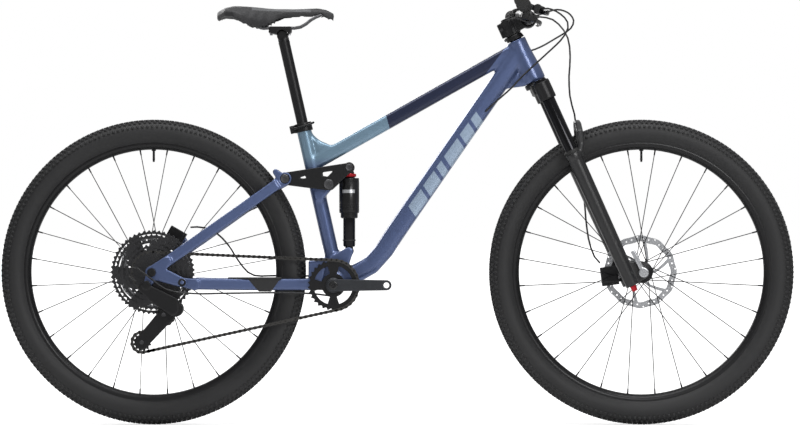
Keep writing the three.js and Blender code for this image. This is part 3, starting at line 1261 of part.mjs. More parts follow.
const WRAP_SLACK = 2.4; // the runs turn a little against each other at the chainring
const LOWER_RUN_END = 0.953; // shares of the lower run: where its front piece stops
const CAGE_RUN_START = 0.986; // and where the piece held by the cage begins

// Points along a straight run, at the shares of its length given
const along = (run, ...shares) => shares.map((share) => [
  run.from[0] + (run.to[0] - run.from[0]) * share,
  run.from[1] + (run.to[1] - run.from[1]) * share,
]);

function chain() {
  const wrapEnd = Math.atan2(lowRun.from[1] - BB.z, lowRun.from[0] - BB.x) + WRAP_SLACK / ringCircle.r;
  const lastPin = [BB.x + ringCircle.r * Math.cos(wrapEnd), BB.z + ringCircle.r * Math.sin(wrapEnd)];
  const upper = [
    ...along(topRun, 0.004, 0.5),
    ...arcPoints(ringCircle, topRun.to, lastPin, -1, 14),
  ];
  place('chain_upper', chainBand(upper, -1), DARK_STEEL);
  place('chain_lower_run', chainBand(along(lowRun, 0.002, 0.5, LOWER_RUN_END), -1), DARK_STEEL);
  const rearWrap = [
    ...arcPoints(cogCircle, topRun.from, cogToGuide.from, 1, 12),
    ...along(cogToGuide, 0.4),
  ];
  place('chain_rear_wrap', chainBand(rearWrap, 1), DARK_STEEL);
  const cageWrap = [
    ...along(cogToGuide, 0.5),
    ...arcPoints(guideCircle, cogToGuide.to, guideToTension.from, -1, 8),
    ...arcPoints(tensionCircle, guideToTension.to, lowRun.to, 1, 10),
    ...along(lowRun, CAGE_RUN_START),
  ];
  place('chain_cage_wrap', chainBand(cageWrap, 0), DARK_STEEL);
}

function drivetrain() {
  place('chainring', chainring(), BLACK_METAL);
  place('crank_right', crank(-1, 1), BLACK_METAL);
  place('crank_left', crank(1, -1), BLACK_METAL);
  place('cassette', cassette(), DARK_STEEL);
  place('derailleur', derailleur(), BLACK_METAL);
  place('derailleur_cage', derailleurCage(), BLACK_METAL);
  place('guide_pulley', pulley(fromRearAxle(GUIDE_PULLEY)), BLACK_PLASTIC);
  place('tension_pulley', pulley(fromRearAxle(TENSION_PULLEY)), BLACK_PLASTIC);
  chain();
}

// ---------------------------------------------------------------- cables and hoses

const HOSE_RADIUS = 2.5;

function hose(name, points, steps) {
  const line = points.map(([x, y, z]) => vec(x, y, z));
  place(name, tube(line, roundSection(HOSE_RADIUS, 8), steps), BLACK_PLASTIC);
}

// Routes are chosen by hand: each point is [x, y, z]
// Points of a route, given by [forward, y, up] from a landmark of the bicycle
const from = (landmark, spots) => spots.map(
  ([forward, y, up]) => [landmark.x + forward, y, landmark.z + up]);

function cablesAndHoses() {
  // From the left lever round the front of the head tube and down behind the left leg
  hose('front_brake_hose', [
    ...from(BAR_CENTRE, [
      [19.8, 153.5, 12.9], [33.8, 136, 13.9], [69.8, 92, 1.9], [99.8, 56, -40.1], [105.8, 40, -90.1],
      [102.8, 38, -140.1], [105.8, 42, -190.1],
    ]),
    ...from(FRONT_AXLE, [
      [-160, 56, 383.3], [-156, 74, 343.3], [-156, 90, 311.3], [-147, 93, 267.3], [-140, 92, 217.3],
      [-134, 90, 167.3], [-130, 86, 117.3], [-122, 78, 67.3], [-108, 66, 31.3], [-98, 56, 21.3],
    ]),
  ], 30);
  // From the drive-side lever past the head tube into the side of the down tube
  hose('rear_brake_hose_front', [
    ...from(BAR_CENTRE, [
      [19.8, -153.5, 12.9], [41.8, -128, 19.9], [61.8, -104, 15.9], [78.8, -84, 6.9],
      [92.8, -66, -6.1], [96.8, -54, -19.1], [92.8, -46, -33.1], [78.8, -41, -53.1],
      [53.8, -38, -77.1],
    ]),
    ...from(HEAD_BOTTOM, [
      [12.3, -37, 53.3], [-11.7, -36, 31.3], [-35.7, -36, 8.3], [-55.7, -34, -13.7],
      [-77.7, -30, -33.7], [-99.7, -26, -52.7], [-121.7, -25, -73.7],
    ]),
  ], 24);
  // From the shifter in a wide bow into the front of the head tube
  hose('shift_cable_front', [
    ...from(BAR_CENTRE, [
      [-4.2, -167, -5.1], [11.8, -140, -0.1], [36.8, -108, 9.9], [66.8, -76, 19.9], [87.8, -50, 17.9],
      [103.8, -24, 9.9], [112.8, 6, -5.1], [105.8, 26, -21.1], [88.8, 36, -33.1], [66.8, 38, -46.1],
    ]),
    ...from(HEAD_BOTTOM, [
      [22.3, 32, 90.3], [0.3, 24, 80.3], [-12.2, 19, 76.3],
    ]),
  ], 24);
  // Out of the frame by the main pivot and along the left chainstay to the rear calliper
  hose('rear_brake_hose', [
    ...from(BB, [
      [6, 30, 32.5], [-26, 50, 24.5], [-74, 52, 20.5], [-144, 56, 21.5], [-204, 62, 24.5],
    ]),
    ...from(REAR_AXLE, [
      [204, 60, 27.3], [180, 54, 65.3], [150, 50, 95.3], [116, 51, 109.3], [86, 55, 109.3],
    ]),
  ], 24);
  // Under the drive-side chainstay and round behind the dropout to the derailleur
  hose('derailleur_cable', [
    ...from(BB, [
      [6, -36, -28.5], [-44, -44, -21.5], [-104, -50, -18.5], [-184, -58, -18.5], [-264, -67, -19.5],
    ]),
    ...from(REAR_AXLE, [
      [96, -80, -50.7], [36, -93, -40.7], [-10, -99, -6.7], [-44, -101, 15.3], [-58, -101, 3.3],
      [-52, -101, -10.7], [-36, -100, -20.7],
    ]),
  ], 26);
}

// ---------------------------------------------------------------- assembly

frontFrame();
seating();
fork();
cockpit();
wheels();
rearSuspension();
drivetrain();
cablesAndHoses();

export default bike;
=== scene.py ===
# Full-suspension mountain bike: steel-blue aluminium frame, telescopic fork, two 29-inch wheels.
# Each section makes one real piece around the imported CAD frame. Lengths are in metres; the chain
# side faces -Y and the front wheel +X.
import json
import math

import bmesh
import bpy
import numpy as np
from mathutils import Matrix, Vector


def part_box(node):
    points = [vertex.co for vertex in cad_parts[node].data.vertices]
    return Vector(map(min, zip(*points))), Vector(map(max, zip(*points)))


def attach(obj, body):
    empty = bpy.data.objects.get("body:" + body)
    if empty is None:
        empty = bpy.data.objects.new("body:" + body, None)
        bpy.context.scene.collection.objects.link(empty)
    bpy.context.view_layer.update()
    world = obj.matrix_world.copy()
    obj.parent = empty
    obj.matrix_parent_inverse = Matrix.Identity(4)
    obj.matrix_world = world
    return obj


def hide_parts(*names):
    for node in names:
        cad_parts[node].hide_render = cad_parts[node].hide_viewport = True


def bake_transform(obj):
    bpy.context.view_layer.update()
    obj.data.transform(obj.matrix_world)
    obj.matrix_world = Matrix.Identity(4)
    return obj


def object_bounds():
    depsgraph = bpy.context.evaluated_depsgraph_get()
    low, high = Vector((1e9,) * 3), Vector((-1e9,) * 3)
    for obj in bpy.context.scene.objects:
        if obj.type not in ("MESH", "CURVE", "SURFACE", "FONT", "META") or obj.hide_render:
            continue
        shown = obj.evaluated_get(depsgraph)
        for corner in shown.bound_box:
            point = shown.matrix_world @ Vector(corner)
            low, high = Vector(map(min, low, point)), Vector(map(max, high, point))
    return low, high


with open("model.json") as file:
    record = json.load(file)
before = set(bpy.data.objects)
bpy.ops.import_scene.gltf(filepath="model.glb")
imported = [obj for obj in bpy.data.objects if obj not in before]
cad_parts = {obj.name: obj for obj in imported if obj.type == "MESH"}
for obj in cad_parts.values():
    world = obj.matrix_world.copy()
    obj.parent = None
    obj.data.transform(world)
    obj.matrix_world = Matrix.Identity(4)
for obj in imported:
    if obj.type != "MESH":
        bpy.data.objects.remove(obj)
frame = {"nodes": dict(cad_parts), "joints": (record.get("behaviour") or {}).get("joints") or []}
cad_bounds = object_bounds()
JOINTS = {joint["name"]: joint for joint in frame["joints"]}
scene = bpy.context.scene


def joint_point(name):
    return Vector(JOINTS[name]["pos_m"])


def joint_axis(name):
    return Vector(JOINTS[name]["axis"])


# --- Camera, pale floor and soft studio light -----------------------------------------------------
# A long lens far out on the chain side, level with the middle of the bicycle, so both wheels look round.
low_corner, high_corner = cad_bounds
centre = (low_corner + high_corner) / 2
VIEW_DISTANCE = 9.0
VIEW_WIDTH = 1.956
SENSOR = 36.0
camera_data = bpy.data.cameras.new("camera")
camera_data.sensor_width = SENSOR
camera_data.lens = SENSOR * VIEW_DISTANCE / VIEW_WIDTH
camera_data.clip_end = 200
camera = bpy.data.objects.new("camera", camera_data)
camera.location = (centre.x + 0.006, -VIEW_DISTANCE, centre.z - 0.012)
camera.rotation_euler = (math.pi / 2, 0, 0)
scene.collection.objects.link(camera)
scene.camera = camera

floor_mesh = bpy.data.meshes.new("floor")
FLOOR_HALF = 60
floor_mesh.from_pydata(
    [(-FLOOR_HALF, -FLOOR_HALF, 0), (FLOOR_HALF, -FLOOR_HALF, 0),
     (FLOOR_HALF, FLOOR_HALF, 0), (-FLOOR_HALF, FLOOR_HALF, 0)], [], [(0, 1, 2, 3)])
floor = bpy.data.objects.new("floor", floor_mesh)
scene.collection.objects.link(floor)
floor_paint = bpy.data.materials.new("floor_paint")
floor_paint.use_nodes = True
floor_nodes = floor_paint.node_tree.nodes
floor_shader = floor_nodes["Principled BSDF"]
floor_shader.inputs["Base Color"].default_value = (0.80, 0.80, 0.80, 1)
floor_shader.inputs["Roughness"].default_value = 0.9
floor_shader.inputs["Specular IOR Level"].default_value = 0.0
floor_shader.inputs["Emission Color"].default_value = (1.0, 1.0, 1.0, 1)
floor_light_path = floor_nodes.new("ShaderNodeLightPath")
floor_place = floor_nodes.new("ShaderNodeTexCoord")
floor_reach = floor_nodes.new("ShaderNodeVectorMath")
floor_reach.operation = "LENGTH"
floor_fade = floor_nodes.new("ShaderNodeMapRange")
floor_fade.inputs["From Min"].default_value = 0.5
floor_fade.inputs["From Max"].default_value = 6.0
floor_fade.inputs["To Min"].default_value = 0.55
floor_fade.inputs["To Max"].default_value = 1.0
floor_glow = floor_nodes.new("ShaderNodeMath")
floor_glow.operation = "MULTIPLY"
floor_links = floor_paint.node_tree.links
floor_links.new(floor_place.outputs["Object"], floor_reach.inputs[0])
floor_links.new(floor_reach.outputs["Value"], floor_fade.inputs["Value"])
floor_links.new(floor_fade.outputs["Result"], floor_glow.inputs[0])
floor_links.new(floor_light_path.outputs["Is Camera Ray"], floor_glow.inputs[1])
floor_links.new(floor_glow.outputs["Value"], floor_shader.inputs["Emission Strength"])
floor_mesh.materials.append(floor_paint)

world = bpy.data.worlds.new("studio")
scene.world = world
world.use_nodes = True
sky_nodes, sky_links = world.node_tree.nodes, world.node_tree.links
sky = sky_nodes["Background"]
sky_path = sky_nodes.new("ShaderNodeLightPath")
sky_place = sky_nodes.new("ShaderNodeTexCoord")
sky_split = sky_nodes.new("ShaderNodeSeparateXYZ")
sky_height = sky_nodes.new("ShaderNodeMapRange")
sky_height.inputs["From Min"].default_value = -0.3
sky_height.inputs["From Max"].default_value = 1.0
sky_height.inputs["To Min"].default_value = 0.10
sky_height.inputs["To Max"].default_value = 0.60
sky_strength = sky_nodes.new("ShaderNodeMix")
sky_strength.inputs["B"].default_value = 1.0
sky.inputs["Color"].default_value = (1.0, 1.0, 1.0, 1)
sky_links.new(sky_place.outputs["Generated"], sky_split.inputs["Vector"])
sky_links.new(sky_split.outputs["Z"], sky_height.inputs["Value"])
sky_links.new(sky_path.outputs["Is Camera Ray"], sky_strength.inputs["Factor"])
sky_links.new(sky_height.outputs["Result"], sky_strength.inputs["A"])
sky_links.new(sky_strength.outputs["Result"], sky.inputs["Strength"])
scene.view_settings.view_transform = "Standard"


def softbox(name, place, aim, size, power):
    """A rectangular area lamp at place that looks at aim."""
    data = bpy.data.lights.new(name, "AREA")
    data.shape = "RECTANGLE"
    data.size, data.size_y = size
    data.energy = power
    lamp = bpy.data.objects.new(name, data)
    lamp.location = place
    lamp.rotation_euler = (Vector(aim) - Vector(place)).to_track_quat("-Z", "Y").to_euler()
    scene.collection.objects.link(lamp)


softbox("lamp_above", (0.0, -0.6, 3.2), (0, 0, 0.4), (3.4, 1.2), 60)
softbox("lamp_front", (1.6, -3.6, 1.9), (0, 0, 0.5), (1.6, 1.0), 45)
softbox("lamp_behind", (-1.4, 3.2, 2.0), (0, 0, 0.5), (2.4, 1.2), 40)


# --- Frame: head tube, top, down and seat tubes and crank shell, welded and painted ---------------
# Hydroformed aluminium tubes in one weldment; metallic steel-blue paint under a clear coat, the top
# tube painted light blue behind and navy in front, with pale blocks of lacquer on the down tube.
def finish(name, colour, roughness=0.4, metallic=0.0, grain=700.0, bump=0.00004, tint=0.12, wear=0.08,
           coat=0.0, sheen=0.0):
    """A procedural finish: fine and broad noise move the colour, roughness and surface a little."""
    made = bpy.data.materials.new(name)
    made.use_nodes = True
    nodes, links = made.node_tree.nodes, made.node_tree.links
    shader = nodes["Principled BSDF"]
    shader.inputs["Metallic"].default_value = metallic
    shader.inputs["Coat Weight"].default_value = coat
    shader.inputs["Coat Roughness"].default_value = 0.12
    shader.inputs["Sheen Weight"].default_value = sheen
    place = nodes.new("ShaderNodeTexCoord")
    fine = nodes.new("ShaderNodeTexNoise")
    fine.inputs["Scale"].default_value = grain
    fine.inputs["Detail"].default_value = 5
    broad = nodes.new("ShaderNodeTexNoise")
    broad.inputs["Scale"].default_value = 14
    broad.inputs["Detail"].default_value = 3
    rough = nodes.new("ShaderNodeMapRange")
    rough.inputs["To Min"].default_value = max(0.02, roughness - wear)
    rough.inputs["To Max"].default_value = min(1.0, roughness + wear)
    shade = nodes.new("ShaderNodeMix")
    shade.data_type = "RGBA"
    shade.name = "shade"
    shade.inputs["A"].default_value = (*[c * (1 - tint) for c in colour], 1)
    shade.inputs["B"].default_value = (*[min(1, c * (1 + tint)) for c in colour], 1)
    lift = nodes.new("ShaderNodeBump")
    lift.inputs["Distance"].default_value = bump
    links.new(place.outputs["Object"], fine.inputs["Vector"])
    links.new(place.outputs["Object"], broad.inputs["Vector"])
    links.new(fine.outputs["Fac"], rough.inputs["Value"])
    links.new(rough.outputs["Result"], shader.inputs["Roughness"])
    links.new(broad.outputs["Fac"], shade.inputs["Factor"])
    links.new(shade.outputs["Result"], shader.inputs["Base Color"])
    links.new(fine.outputs["Fac"], lift.inputs["Height"])
    links.new(lift.outputs["Normal"], shader.inputs["Normal"])
    return made


def new_piece(name, mesh, paint=None):
    piece = bpy.data.objects.new(name, mesh)
    scene.collection.objects.link(piece)
    if paint:
        mesh.materials.clear()
        mesh.materials.append(paint)
    return piece


def baked(piece):
    """The piece as modifiers leave it, as a plain mesh."""
    bpy.context.view_layer.update()
    plain = bpy.data.meshes.new_from_object(piece.evaluated_get(bpy.context.evaluated_depsgraph_get()))
    piece.modifiers.clear()
    piece.data = plain
    return piece


def rounded_from(name, nodes, paint, cell=0.002, rounds=6, smooth=0.5, extra=()):
    """CAD solids fused into one skin of small cells and smoothed, as casting or welding leaves them."""
    work = bmesh.new()
    for node in nodes:
        work.from_mesh(frame["nodes"][node].data)
    for added in extra:
        work.from_mesh(added.data)
        bpy.data.objects.remove(added)
    mesh = bpy.data.meshes.new(name)
    bmesh.ops.remove_doubles(work, verts=work.verts, dist=1e-6)
    work.to_mesh(mesh)
    work.free()
    piece = new_piece(name, mesh)
    skin = piece.modifiers.new("skin", "REMESH")
    skin.mode = "VOXEL"
    skin.voxel_size = cell
    skin.adaptivity = 0
    ease = piece.modifiers.new("ease", "SMOOTH")
    ease.factor = smooth
    ease.iterations = rounds
    baked(piece)
    piece.data.materials.clear()
    piece.data.materials.append(paint)
    piece.data.polygons.foreach_set("use_smooth", [True] * len(piece.data.polygons))
    return piece


BLUE = (0.088, 0.125, 0.262)
LIGHT_BLUE = (0.190, 0.300, 0.400)
NAVY = (0.014, 0.021, 0.058)
frame_paint = finish(
    "frame_paint", BLUE, roughness=0.34, metallic=0.55, grain=900, bump=0.000006, coat=0.5, tint=0.06)


def new_node(made, kind, **settings):
    node = made.node_tree.nodes.new(kind)
    for key, value in settings.items():
        setattr(node, key, value)
    return node


def side_of(made, point, normal, soft=0.0006):
    """A mask in the material that is 1 on the side of a plane that its normal points to."""
    links = made.node_tree.links
    place = new_node(made, "ShaderNodeTexCoord")
    dot = new_node(made, "ShaderNodeVectorMath", operation="DOT_PRODUCT")
    reach = Vector(normal).normalized()
    dot.inputs[1].default_value = reach
    edge = new_node(made, "ShaderNodeMapRange")
    level = Vector(point).dot(reach)
    edge.inputs["From Min"].default_value = level - soft
    edge.inputs["From Max"].default_value = level + soft
    links.new(place.outputs["Object"], dot.inputs[0])
    links.new(dot.outputs["Value"], edge.inputs["Value"])
    return edge.outputs["Result"]


def both(made, *masks):
    """The product of several masks."""
    whole = masks[0]
    for mask in masks[1:]:
        product = new_node(made, "ShaderNodeMath", operation="MULTIPLY")
        made.node_tree.links.new(whole, product.inputs[0])
        made.node_tree.links.new(mask, product.inputs[1])
        whole = product.outputs["Value"]
    return whole


def painted_over(made, mask, colour):
    """Lays a second colour over the material's own where the mask is 1."""
    links = made.node_tree.links
    colour_socket = made.node_tree.nodes["Principled BSDF"].inputs["Base Color"]
    under = colour_socket.links[0].from_socket
    lay = new_node(made, "ShaderNodeMix", data_type="RGBA")
    lay.inputs["B"].default_value = (*colour, 1)
    links.new(mask, lay.inputs["Factor"])
    links.new(under, lay.inputs["A"])
    links.new(lay.outputs["Result"], colour_socket)


# The top tube's colours meet on a plane across it; both stop at the underside of the tube.
top_tube_low, top_tube_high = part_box("top_tube")
top_run = Vector((0.872, 0, 0.490))
split_at = Vector((top_tube_low.x + 0.180, 0, top_tube_low.z + 0.115))
split_across = Vector((0.962, 0, 0.271))
under_tube = Vector((top_tube_low.x + 0.020, 0, top_tube_low.z + 0.003))
tube_up = Vector((-0.490, 0, 0.872))
navy_mask = both(
    frame_paint,
    side_of(frame_paint, split_at, split_across),
    side_of(frame_paint, under_tube + tube_up * 0.0005, tube_up),
    side_of(frame_paint, (top_tube_high.x - 0.042, 0, top_tube_high.z - 0.03), (-0.80, 0, 0.60)))
light_mask = both(
    frame_paint,
    side_of(frame_paint, split_at, -split_across),
    side_of(frame_paint, (0, 0, top_tube_low.z + 0.012), (0, 0, 1), soft=0.016))
painted_over(frame_paint, navy_mask, NAVY)
painted_over(frame_paint, light_mask, LIGHT_BLUE)

# Pale slanted blocks along the outer faces of the down tube.
down_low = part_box("down_tube")[0]
block_start = Vector((down_low.x + 0.163, 0, down_low.z + 0.203))
down_run = Vector((0.582, 0, 0.813))
down_across = Vector((0.813, 0, -0.582))
PALE = (0.36, 0.46, 0.60)
slant = (down_run * 0.94 + down_across * 0.34).normalized()
block_low = side_of(frame_paint, block_start, down_across)
block_high = side_of(frame_paint, block_start + down_across * 0.030, -down_across)
BLOCK_ENDS = [
    (0.000, 0.052), (0.062, 0.107), (0.117, 0.137),
    (0.149, 0.205), (0.215, 0.251), (0.261, 0.284)]
for near, far in BLOCK_ENDS:
    block = both(
        frame_paint, block_low, block_high,
        side_of(frame_paint, block_start + down_run * near, slant),
        side_of(frame_paint, block_start + down_run * far, -slant))
    painted_over(frame_paint, block, PALE)


def thick_shape(name, outline, half):
    """A flat-sided solid over an outline in the XZ plane, from y = -half to y = +half."""
    work = bmesh.new()
    face = work.faces.new([work.verts.new((x, -half, z)) for x, z in outline])
    raised = bmesh.ops.extrude_face_region(work, geom=[face])
    moving = [item for item in raised["geom"] if isinstance(item, bmesh.types.BMVert)]
    bmesh.ops.translate(work, vec=(0, 2 * half, 0), verts=moving)
    bmesh.ops.recalc_face_normals(work, faces=work.faces)
    mesh = bpy.data.meshes.new(name)
    work.to_mesh(mesh)
    work.free()
    return new_piece(name, mesh)


# The web that fills the corner between the seat tube and the top tube, hollowed on its upper edge.
seat_box_low, seat_box_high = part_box("seat_tube")
web_top = Vector((seat_box_low.x + 0.040, 0, seat_box_high.z - 0.026))
web_end = Vector((top_tube_low.x + 0.060, 0, top_tube_low.z + 0.0610))
web_corner = Vector((top_tube_low.x + 0.012, 0, top_tube_low.z + 0.026))
web = [(web_top.x, web_top.z)]
WEB_STEPS = 10
sag = Vector((web_top.x + 0.010, 0, web_end.z - 0.014))
for step in range(1, WEB_STEPS + 1):
    share = step / WEB_STEPS
    spot = web_top.lerp(sag, share).lerp(sag.lerp(web_end, share), share)
    web.append((spot.x, spot.z))
web += [(web_end.x, web_end.z - 0.020), (web_corner.x, web_corner.z)]
frame_web = thick_shape("frame_web", web, 0.0125)

frame_skin = rounded_from(
    "frame_skin", ["head_tube", "top_tube", "down_tube", "seat_tube", "bottom_bracket_shell"],
    frame_paint, cell=0.0025, rounds=24, extra=[frame_web])
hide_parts("head_tube", "top_tube", "down_tube", "seat_tube", "bottom_bracket_shell")
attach(frame_skin, "frame")


# --- Wheels: 29-inch aluminium rims laced to black hubs with 28 black spokes -------------------------
# Knobbly rubber tyres on black anodised rims; black steel spokes with nipples, and a valve at
# the top of each wheel.
def turned(name, profile, paint, steps=96, closed=True):
    """A solid of revolution round Y from (radius, y) points; closed joins the last to the first."""
    steps = steps
    verts = []
    for step in range(steps):
        angle = 2 * math.pi * step / steps
        for radius, y in profile:
            verts.append((radius * math.sin(angle), y, radius * math.cos(angle)))
    count = len(profile)
    faces = []
    for step in range(steps):
        after = (step + 1) % steps
        for i in range(count if closed else count - 1):
            j = (i + 1) % count
            faces.append((step * count + i, after * count + i, after * count + j, step * count + j))
    mesh = bpy.data.meshes.new(name)
    mesh.from_pydata(verts, [], faces)
    work = bmesh.new()
    work.from_mesh(mesh)
    bmesh.ops.remove_doubles(work, verts=work.verts, dist=1e-7)
    bmesh.ops.recalc_face_normals(work, faces=work.faces)
    work.to_mesh(mesh)
    work.free()
    mesh.polygons.foreach_set("use_smooth", [True] * len(mesh.polygons))
    mesh.set_sharp_from_angle(angle=math.radians(38))
    return new_piece(name, mesh, paint)


def rounded_box(name, size, paint, bevel=0.0008, taper=1.0, segments=2):
    """A box with soft edges, centred on the origin; taper narrows its +Z end."""
    work = bmesh.new()
    bmesh.ops.create_cube(work, size=1.0)
    for vert in work.verts:
        vert.co = Vector((vert.co.x * size[0], vert.co.y * size[1], vert.co.z * size[2]))
        if vert.co.z > 0:
            vert.co.x *= taper
            vert.co.y *= taper
    bmesh.ops.bevel(work, geom=work.edges[:], offset=bevel, segments=segments, affect="EDGES", profile=0.6)
    mesh = bpy.data.meshes.new(name)
    work.to_mesh(mesh)
    work.free()
    mesh.polygons.foreach_set("use_smooth", [True] * len(mesh.polygons))
    return new_piece(name, mesh, paint)


def rod_between(name, start, end, radius, paint, sides=8, end_radius=None):
    """A round bar from start to end."""
    start, end = Vector(start), Vector(end)
    work = bmesh.new()
    bmesh.ops.create_cone(
        work, cap_ends=True, segments=sides, radius1=radius,
        radius2=radius if end_radius is None else end_radius, depth=(end - start).length)
    turn = (end - start).to_track_quat("Z", "Y").to_matrix().to_4x4()
    bmesh.ops.transform(work, matrix=Matrix.Translation((start + end) / 2) @ turn, verts=work.verts)
    mesh = bpy.data.meshes.new(name)
    work.to_mesh(mesh)
    work.free()
    mesh.polygons.foreach_set("use_smooth", [True] * len(mesh.polygons))
    mesh.set_sharp_from_angle(angle=math.radians(40))
    return new_piece(name, mesh, paint)


def joined(name, parts):
    """Several pieces as one object, with the first one's name changed to name."""
    bpy.ops.object.select_all(action="DESELECT")
    for part in parts:
        part.select_set(True)
    bpy.context.view_layer.objects.active = parts[0]
    if len(parts) > 1:
        bpy.ops.object.join()
    parts[0].name = name
    return parts[0]


def moved(piece, offset):
    piece.data.transform(Matrix.Translation(Vector(offset)))
    return piece


def round_axis_group():
    """Geometry nodes: copies of one piece, evenly turned round the Y axis through the origin."""
    group = bpy.data.node_groups.new("copies_round_axis", "GeometryNodeTree")
    face = group.interface
    face.new_socket("Geometry", in_out="INPUT", socket_type="NodeSocketGeometry")
    face.new_socket("Piece", in_out="INPUT", socket_type="NodeSocketObject")
    face.new_socket("Count", in_out="INPUT", socket_type="NodeSocketInt")
    face.new_socket("First Turn", in_out="INPUT", socket_type="NodeSocketFloat")
    face.new_socket("Material", in_out="INPUT", socket_type="NodeSocketMaterial")
    face.new_socket("Geometry", in_out="OUTPUT", socket_type="NodeSocketGeometry")
    nodes, links = group.nodes, group.links
    given = nodes.new("NodeGroupInput")
    made = nodes.new("NodeGroupOutput")
    points = nodes.new("GeometryNodePoints")
    piece = nodes.new("GeometryNodeObjectInfo")
    copies = nodes.new("GeometryNodeInstanceOnPoints")
    index = nodes.new("GeometryNodeInputIndex")
    share = nodes.new("ShaderNodeMath")
    share.operation = "DIVIDE"
    angle = nodes.new("ShaderNodeMath")
    angle.operation = "MULTIPLY_ADD"
    angle.inputs[1].default_value = 2 * math.pi
    turn = nodes.new("ShaderNodeCombineXYZ")
    rotate = nodes.new("GeometryNodeRotateInstances")
    rotate.inputs["Local Space"].default_value = False
    real = nodes.new("GeometryNodeRealizeInstances")
    paint = nodes.new("GeometryNodeSetMaterial")
    links.new(given.outputs["Count"], points.inputs["Count"])
    links.new(points.outputs["Points"], copies.inputs["Points"])
    links.new(given.outputs["Piece"], piece.inputs["Object"])
    links.new(piece.outputs["Geometry"], copies.inputs["Instance"])
    links.new(index.outputs["Index"], share.inputs[0])
    links.new(given.outputs["Count"], share.inputs[1])
    links.new(share.outputs["Value"], angle.inputs[0])
    links.new(given.outputs["First Turn"], angle.inputs[2])
    links.new(angle.outputs["Value"], turn.inputs["Y"])
    links.new(copies.outputs["Instances"], rotate.inputs["Instances"])
    links.new(turn.outputs["Vector"], rotate.inputs["Rotation"])
    links.new(rotate.outputs["Instances"], real.inputs["Geometry"])
    links.new(real.outputs["Geometry"], paint.inputs["Geometry"])
    links.new(given.outputs["Material"], paint.inputs["Material"])
    links.new(paint.outputs["Geometry"], made.inputs["Geometry"])
    return group


ROUND_AXIS = round_axis_group()


def grown(name, group, **values):
    """A plain mesh made by one geometry-nodes group with its named inputs filled in."""
    piece = new_piece(name, bpy.data.meshes.new(name))
    nodes = piece.modifiers.new("grow", "NODES")
    nodes.node_group = group
    for socket in group.interface.items_tree:
        if socket.item_type == "SOCKET" and socket.in_out == "INPUT":
            key = socket.name.lower().replace(" ", "_")
            if key in values:
                nodes[socket.identifier] = values[key]
    return baked(piece)


def round_axis(name, piece, count, first_turn=0.0):
    """count copies of piece round Y through the origin; the pattern piece is used up."""
    paint = piece.data.materials[0]
    ring = grown(name, ROUND_AXIS, piece=piece, count=count, first_turn=first_turn, material=paint)
    bpy.data.objects.remove(piece)
    return ring


tyre_rubber = finish("tyre_rubber", (0.022, 0.022, 0.023), roughness=0.72, grain=420, bump=0.00018, tint=0.25)
tyre_wall = finish("tyre_wall", (0.016, 0.016, 0.017), roughness=0.6, grain=900, bump=0.00006, tint=0.2)
rim_black = finish("rim_black", (0.012, 0.012, 0.013), roughness=0.33, metallic=0.4, grain=1100, tint=0.2)
spoke_black = finish("spoke_black", (0.012, 0.012, 0.013), roughness=0.35, metallic=0.6, grain=1500)
hub_black = finish("hub_black", (0.014, 0.014, 0.015), roughness=0.3, metallic=0.7, grain=1300)

TYRE_TOP = (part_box("front_tyre")[1].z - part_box("front_tyre")[0].z) / 2
TYRE_HALF = (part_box("front_tyre")[1].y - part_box("front_tyre")[0].y) / 2
RIM_TOP = (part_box("front_rim")[1].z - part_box("front_rim")[0].z) / 2
RIM_HALF = (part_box("front_rim")[1].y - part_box("front_rim")[0].y) / 2
KNOB_HEIGHT = 0.0042
KNOBS_ROUND = 186
RIM_DEPTH = 0.018
SPOKES = 28


def tyre(name, body, axle, grain_turn):
    """A knobbly tyre: a smooth rounded case with six rows of rubber blocks round it."""
    case_top = TYRE_TOP - KNOB_HEIGHT
    case_half = TYRE_HALF - 0.002
    middle = (case_top + RIM_TOP - 0.006) / 2
    tall = case_top - middle
    profile = []
    for step in range(25):
        lean = math.radians(-128 + 256 * step / 24)
        profile.append((middle + tall * math.cos(lean), case_half * math.sin(lean)))
    bead = RIM_HALF - 0.002
    profile += [(RIM_TOP - 0.003, bead), (RIM_TOP - 0.003, -bead)]
    case = turned("case", profile, tyre_wall, steps=192)
    rows = [(0.0052, 0.0, 0.0074, 0.0086, 1.0), (-0.0052, 0.5, 0.0074, 0.0086, 1.0),
            (0.0155, 0.5, 0.0070, 0.0080, 0.95), (-0.0155, 0.0, 0.0070, 0.0080, 0.95),
            (0.0245, 0.0, 0.0072, 0.0074, 0.9), (-0.0245, 0.5, 0.0072, 0.0074, 0.9)]
    blocks = []
    for across, shift, wide, long, height in rows:
        lean = math.asin(across / (case_half * 1.06))
        block = rounded_box("block", (long * 0.86, wide, KNOB_HEIGHT * 2), tyre_rubber, 0.0007, 0.82, 1)
        block.data.transform(Matrix.Rotation(-lean, 4, "X"))
        radius = middle + tall * math.cos(lean) + KNOB_HEIGHT * (height - 1.0)
        moved(block, (0, case_half * math.sin(lean), radius))
        turn = (shift + grain_turn) * 2 * math.pi / KNOBS_ROUND
        blocks.append(round_axis("row", block, KNOBS_ROUND, turn))
    whole = joined(name, [case, *blocks])
    moved(whole, axle)
    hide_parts(name)
    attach(whole, body)


